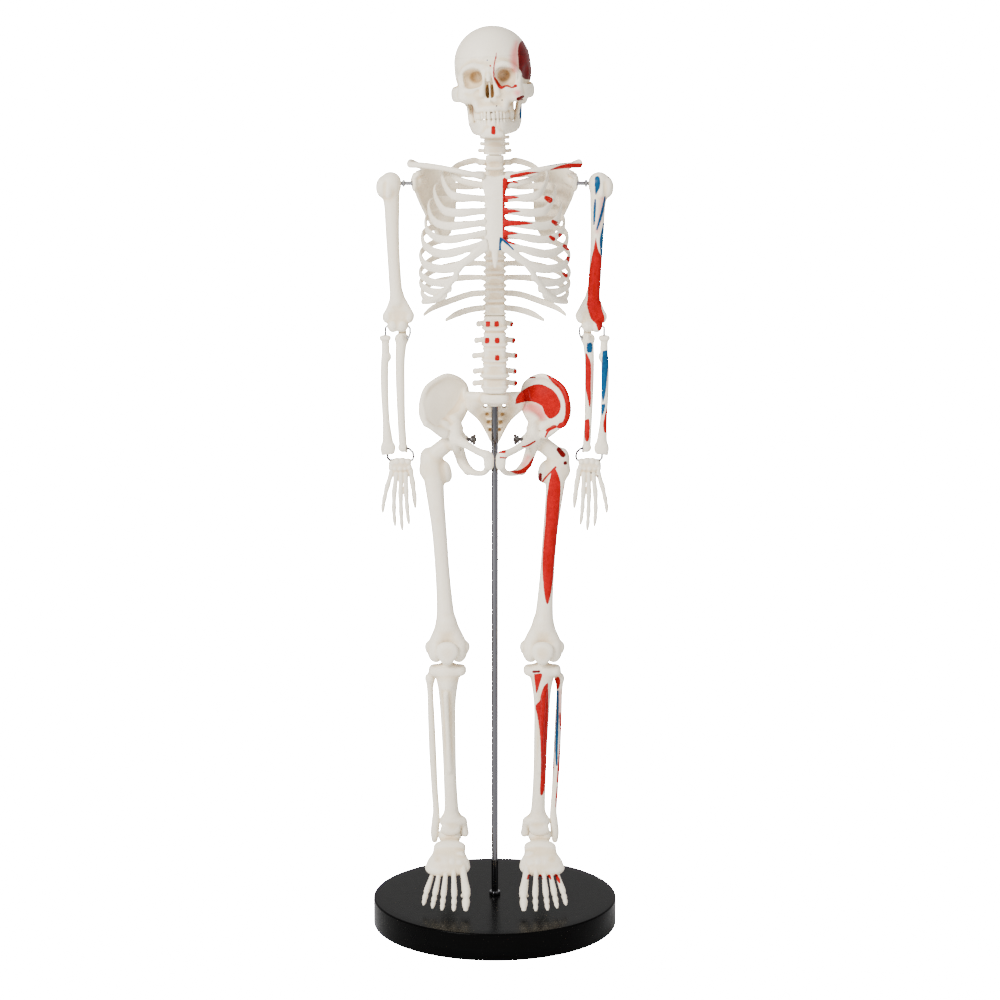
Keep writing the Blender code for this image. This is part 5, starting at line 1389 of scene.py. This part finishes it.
def foot_paint():
    """A red arch in each gap between the rays of the foot, the outermost one a streak."""
    red = [stroke([(x - 1.7, 41.4, 0.9), (x, 44.6, 1.5), (x + 1.7, 41.4, 0.9)]) for x in (33.0, 43.5, 51.9)]
    red.append(stroke([(58.4, 44.8, 1.7), (60.8, 41, 1.7), (62.2, 37.6, 0.8)]))
    # The deep dot is a spot of painted shade on the outer side of the foot.
    return {"red": red, "deep": [dot(54.6, 61, 1.5)]}


def skeleton():
    single("cervical_spine", cervical_spine())
    single("thoracic_spine", thoracic_spine())
    single("lumbar_spine", lumbar_spine(), lumbar_paint())
    # The deep lump paints the shadow that the hip bones cast on the lower sacrum.
    single("sacrum_and_coccyx", sacrum(),
           {"deep": [lump((0, 16, 474), (22, 14, 22))], "red": [patch(FOSSA, 22)]})
    single("sternum", sternum(), sternum_paint())
    for number in (11, 12):
        pair("floating_rib_%d" % number, floating_rib(number))
    for name, bone, paint in (
            ("rib_cage", rib_cage, rib_paint), ("clavicle", clavicle, clavicle_paint),
            ("scapula", scapula, None),
            ("humerus", humerus, humerus_paint), ("radius", radius_bone, radius_paint),
            ("ulna", ulna, ulna_paint),
            ("hand", hand, hand_paint), ("hip_bone", hip_bone, hip_paint), ("femur", femur, femur_paint),
            ("patella", patella, None), ("tibia", tibia, tibia_paint), ("fibula", fibula, fibula_paint),
            ("foot", foot, foot_paint)):
        pair(name, bone(), paint() if paint else None)


skeleton()


# ---------------------------------------------------------------- stand and fittings

def lathe(node, profile, material, around=192):
    """A turned piece from rows of radius and height, with sharp edges where the profile bends hard."""
    bm = bmesh.new()
    rings = [[bm.verts.new((r * math.cos(a) * MM, r * math.sin(a) * MM, z * MM))
              for a in (math.tau * i / around for i in range(around))] for r, z in profile]
    for near, far in zip(rings, rings[1:] + rings[:1]):
        for i in range(around):
            j = (i + 1) % around
            bm.faces.new((near[i], far[i], far[j], near[j])).smooth = True
    bmesh.ops.recalc_face_normals(bm, faces=bm.faces)
    for edge in bm.edges:
        edge.smooth = edge.calc_face_angle(0) < math.radians(38)
    mesh = bpy.data.meshes.new("shape_" + node)
    bm.to_mesh(mesh)
    bm.free()
    obj = bpy.data.objects.new("shape_" + node, mesh)
    bpy.context.scene.collection.objects.link(obj)
    return stand_for(obj, node, material)


def rounded(r, z, size, start, steps=6):
    """Points of a rounded corner about r, z: a quarter turn clockwise from the start angle in degrees."""
    return [(r + size * math.cos(a), z + size * math.sin(a))
            for a in (math.radians(start - 90 * i / steps) for i in range(steps + 1))]


def stand():
    rim, level, hole, rod, nut = 116.0, 26.0, 3.3, 3.2, 3.35
    top = [(hole, level), (rim - 12, level), *rounded(rim - 1.6, level - 1.6, 1.6, 90, 8),
           *rounded(rim - 1.2, 1.2, 1.2, 0, 4)]
    lathe("base_disc", [*top, (rim - 8, 0), (rim - 8, 3), (hole, 3)], "black", 256)
    lathe("support_rod", [(0.05, 3.6), (rod - 0.3, 3.6), (rod, 3.9), (rod, 515.7), (rod - 0.3, 516),
                          (0.05, 516)], "chrome", 48)
    lathe("rod_collar", [(nut, 29.9), (4.3, 29.9), *rounded(4.6, 29.3, 0.6, 90, 4), (5.4, 26.7), (5.3, 26.3),
                         (nut, 26.3)], "chrome", 48)


stand()
pin = hollow_share(shoulder_pin())
for mirror, end in enumerate(("_left", "_right")):
    stand_for(to_mesh("shape_shoulder_pin" + end, pin[0], pin[1], {}, bool(mirror)), "shoulder_pin" + end,
              "steel")
for node, material in {"rod_bolt": "chrome", "elbow_wire": "steel", "wrist_wire": "wire", "hip_bolt": "wire",
                       "hip_wing_nut": "wire", "knee_pin": "wire", "ankle_pin": "steel"}.items():
    for name in (node, node + "_left", node + "_right"):
        if name in frame["nodes"]:
            for place in frame["nodes"][name].material_slots:
                place.material = MATERIALS[material]


# ---------------------------------------------------------------- floor, light, camera

WARM_WHITE = (1.0, 0.995, 0.985, 1)
BACKDROP = 40.0             # brightness of the world and the floor as the camera sees them
LIGHTS = (                  # name, place, size in m and power in W
    ("key", (-1.8, -2.3, 2.0), 1.2, 178),
    ("fill", (2.2, -1.8, 1.2), 2.2, 26),
    ("top", (0, 0.3, 2.8), 2.0, 16),
    ("back", (0.4, 2.4, 1.6), 2.0, 5),
)
LIGHTS_AIM = Vector((0, 0, 0.45))
CAMERA_LENS = 97.8
CAMERA_DIP = 9.92           # degrees below the horizontal


def seen_only(tree, socket, seen, cast):
    """The backdrop looks this bright, and casts less light than that."""
    path, level = tree.nodes.new("ShaderNodeLightPath"), tree.nodes.new("ShaderNodeMapRange")
    level.inputs["To Min"].default_value, level.inputs["To Max"].default_value = cast, seen
    tree.links.new(path.outputs["Is Camera Ray"], level.inputs["Value"])
    tree.links.new(level.outputs["Result"], socket)


def studio():
    world = bpy.data.worlds.new("studio")
    bpy.context.scene.world = world
    world.use_nodes = True
    seen_only(world.node_tree, world.node_tree.nodes["Background"].inputs["Strength"], BACKDROP, 0.66)
    world.node_tree.nodes["Background"].inputs["Color"].default_value = WARM_WHITE
    bm = bmesh.new()
    bmesh.ops.create_grid(bm, x_segments=4, y_segments=4, size=60.0)
    mesh = bpy.data.meshes.new("floor")
    bm.to_mesh(mesh)
    bm.free()
    floor = bpy.data.objects.new("floor", mesh)
    bpy.context.scene.collection.objects.link(floor)
    made, nodes, links, shader = new_material("pale_floor")
    shader.inputs["Roughness"].default_value = 0.7
    shader.inputs["Specular IOR Level"].default_value = 0.2
    shader.inputs["Emission Color"].default_value = WARM_WHITE
    seen_only(made.node_tree, shader.inputs["Emission Strength"], BACKDROP, 0.0)
    noise = nodes.new("ShaderNodeTexNoise")
    noise.inputs["Scale"].default_value = 3.0
    ramp = nodes.new("ShaderNodeMapRange")
    ramp.inputs["To Min"].default_value = 0.92
    ramp.inputs["To Max"].default_value = 0.95
    links.new(noise.outputs["Fac"], ramp.inputs["Value"])
    links.new(ramp.outputs["Result"], shader.inputs["Base Color"])
    mesh.materials.append(made)
    for name, place, size, power in LIGHTS:
        light = bpy.data.lights.new(name, "AREA")
        light.size = size
        light.energy = power
        lamp = bpy.data.objects.new(name, light)
        lamp.location = place
        lamp.rotation_euler = (LIGHTS_AIM - Vector(place)).to_track_quat("-Z", "Y").to_euler()
        bpy.context.scene.collection.objects.link(lamp)
    camera = bpy.data.cameras.new("camera")
    camera.lens = CAMERA_LENS
    camera.sensor_width = 36.0
    camera.shift_x = 0.0052
    rig = bpy.data.objects.new("camera", camera)
    rig.location = Vector(EYE) * MM
    rig.rotation_euler = (math.radians(90 - CAMERA_DIP), 0, 0)
    bpy.context.scene.collection.objects.link(rig)
    bpy.context.scene.camera = rig


studio()
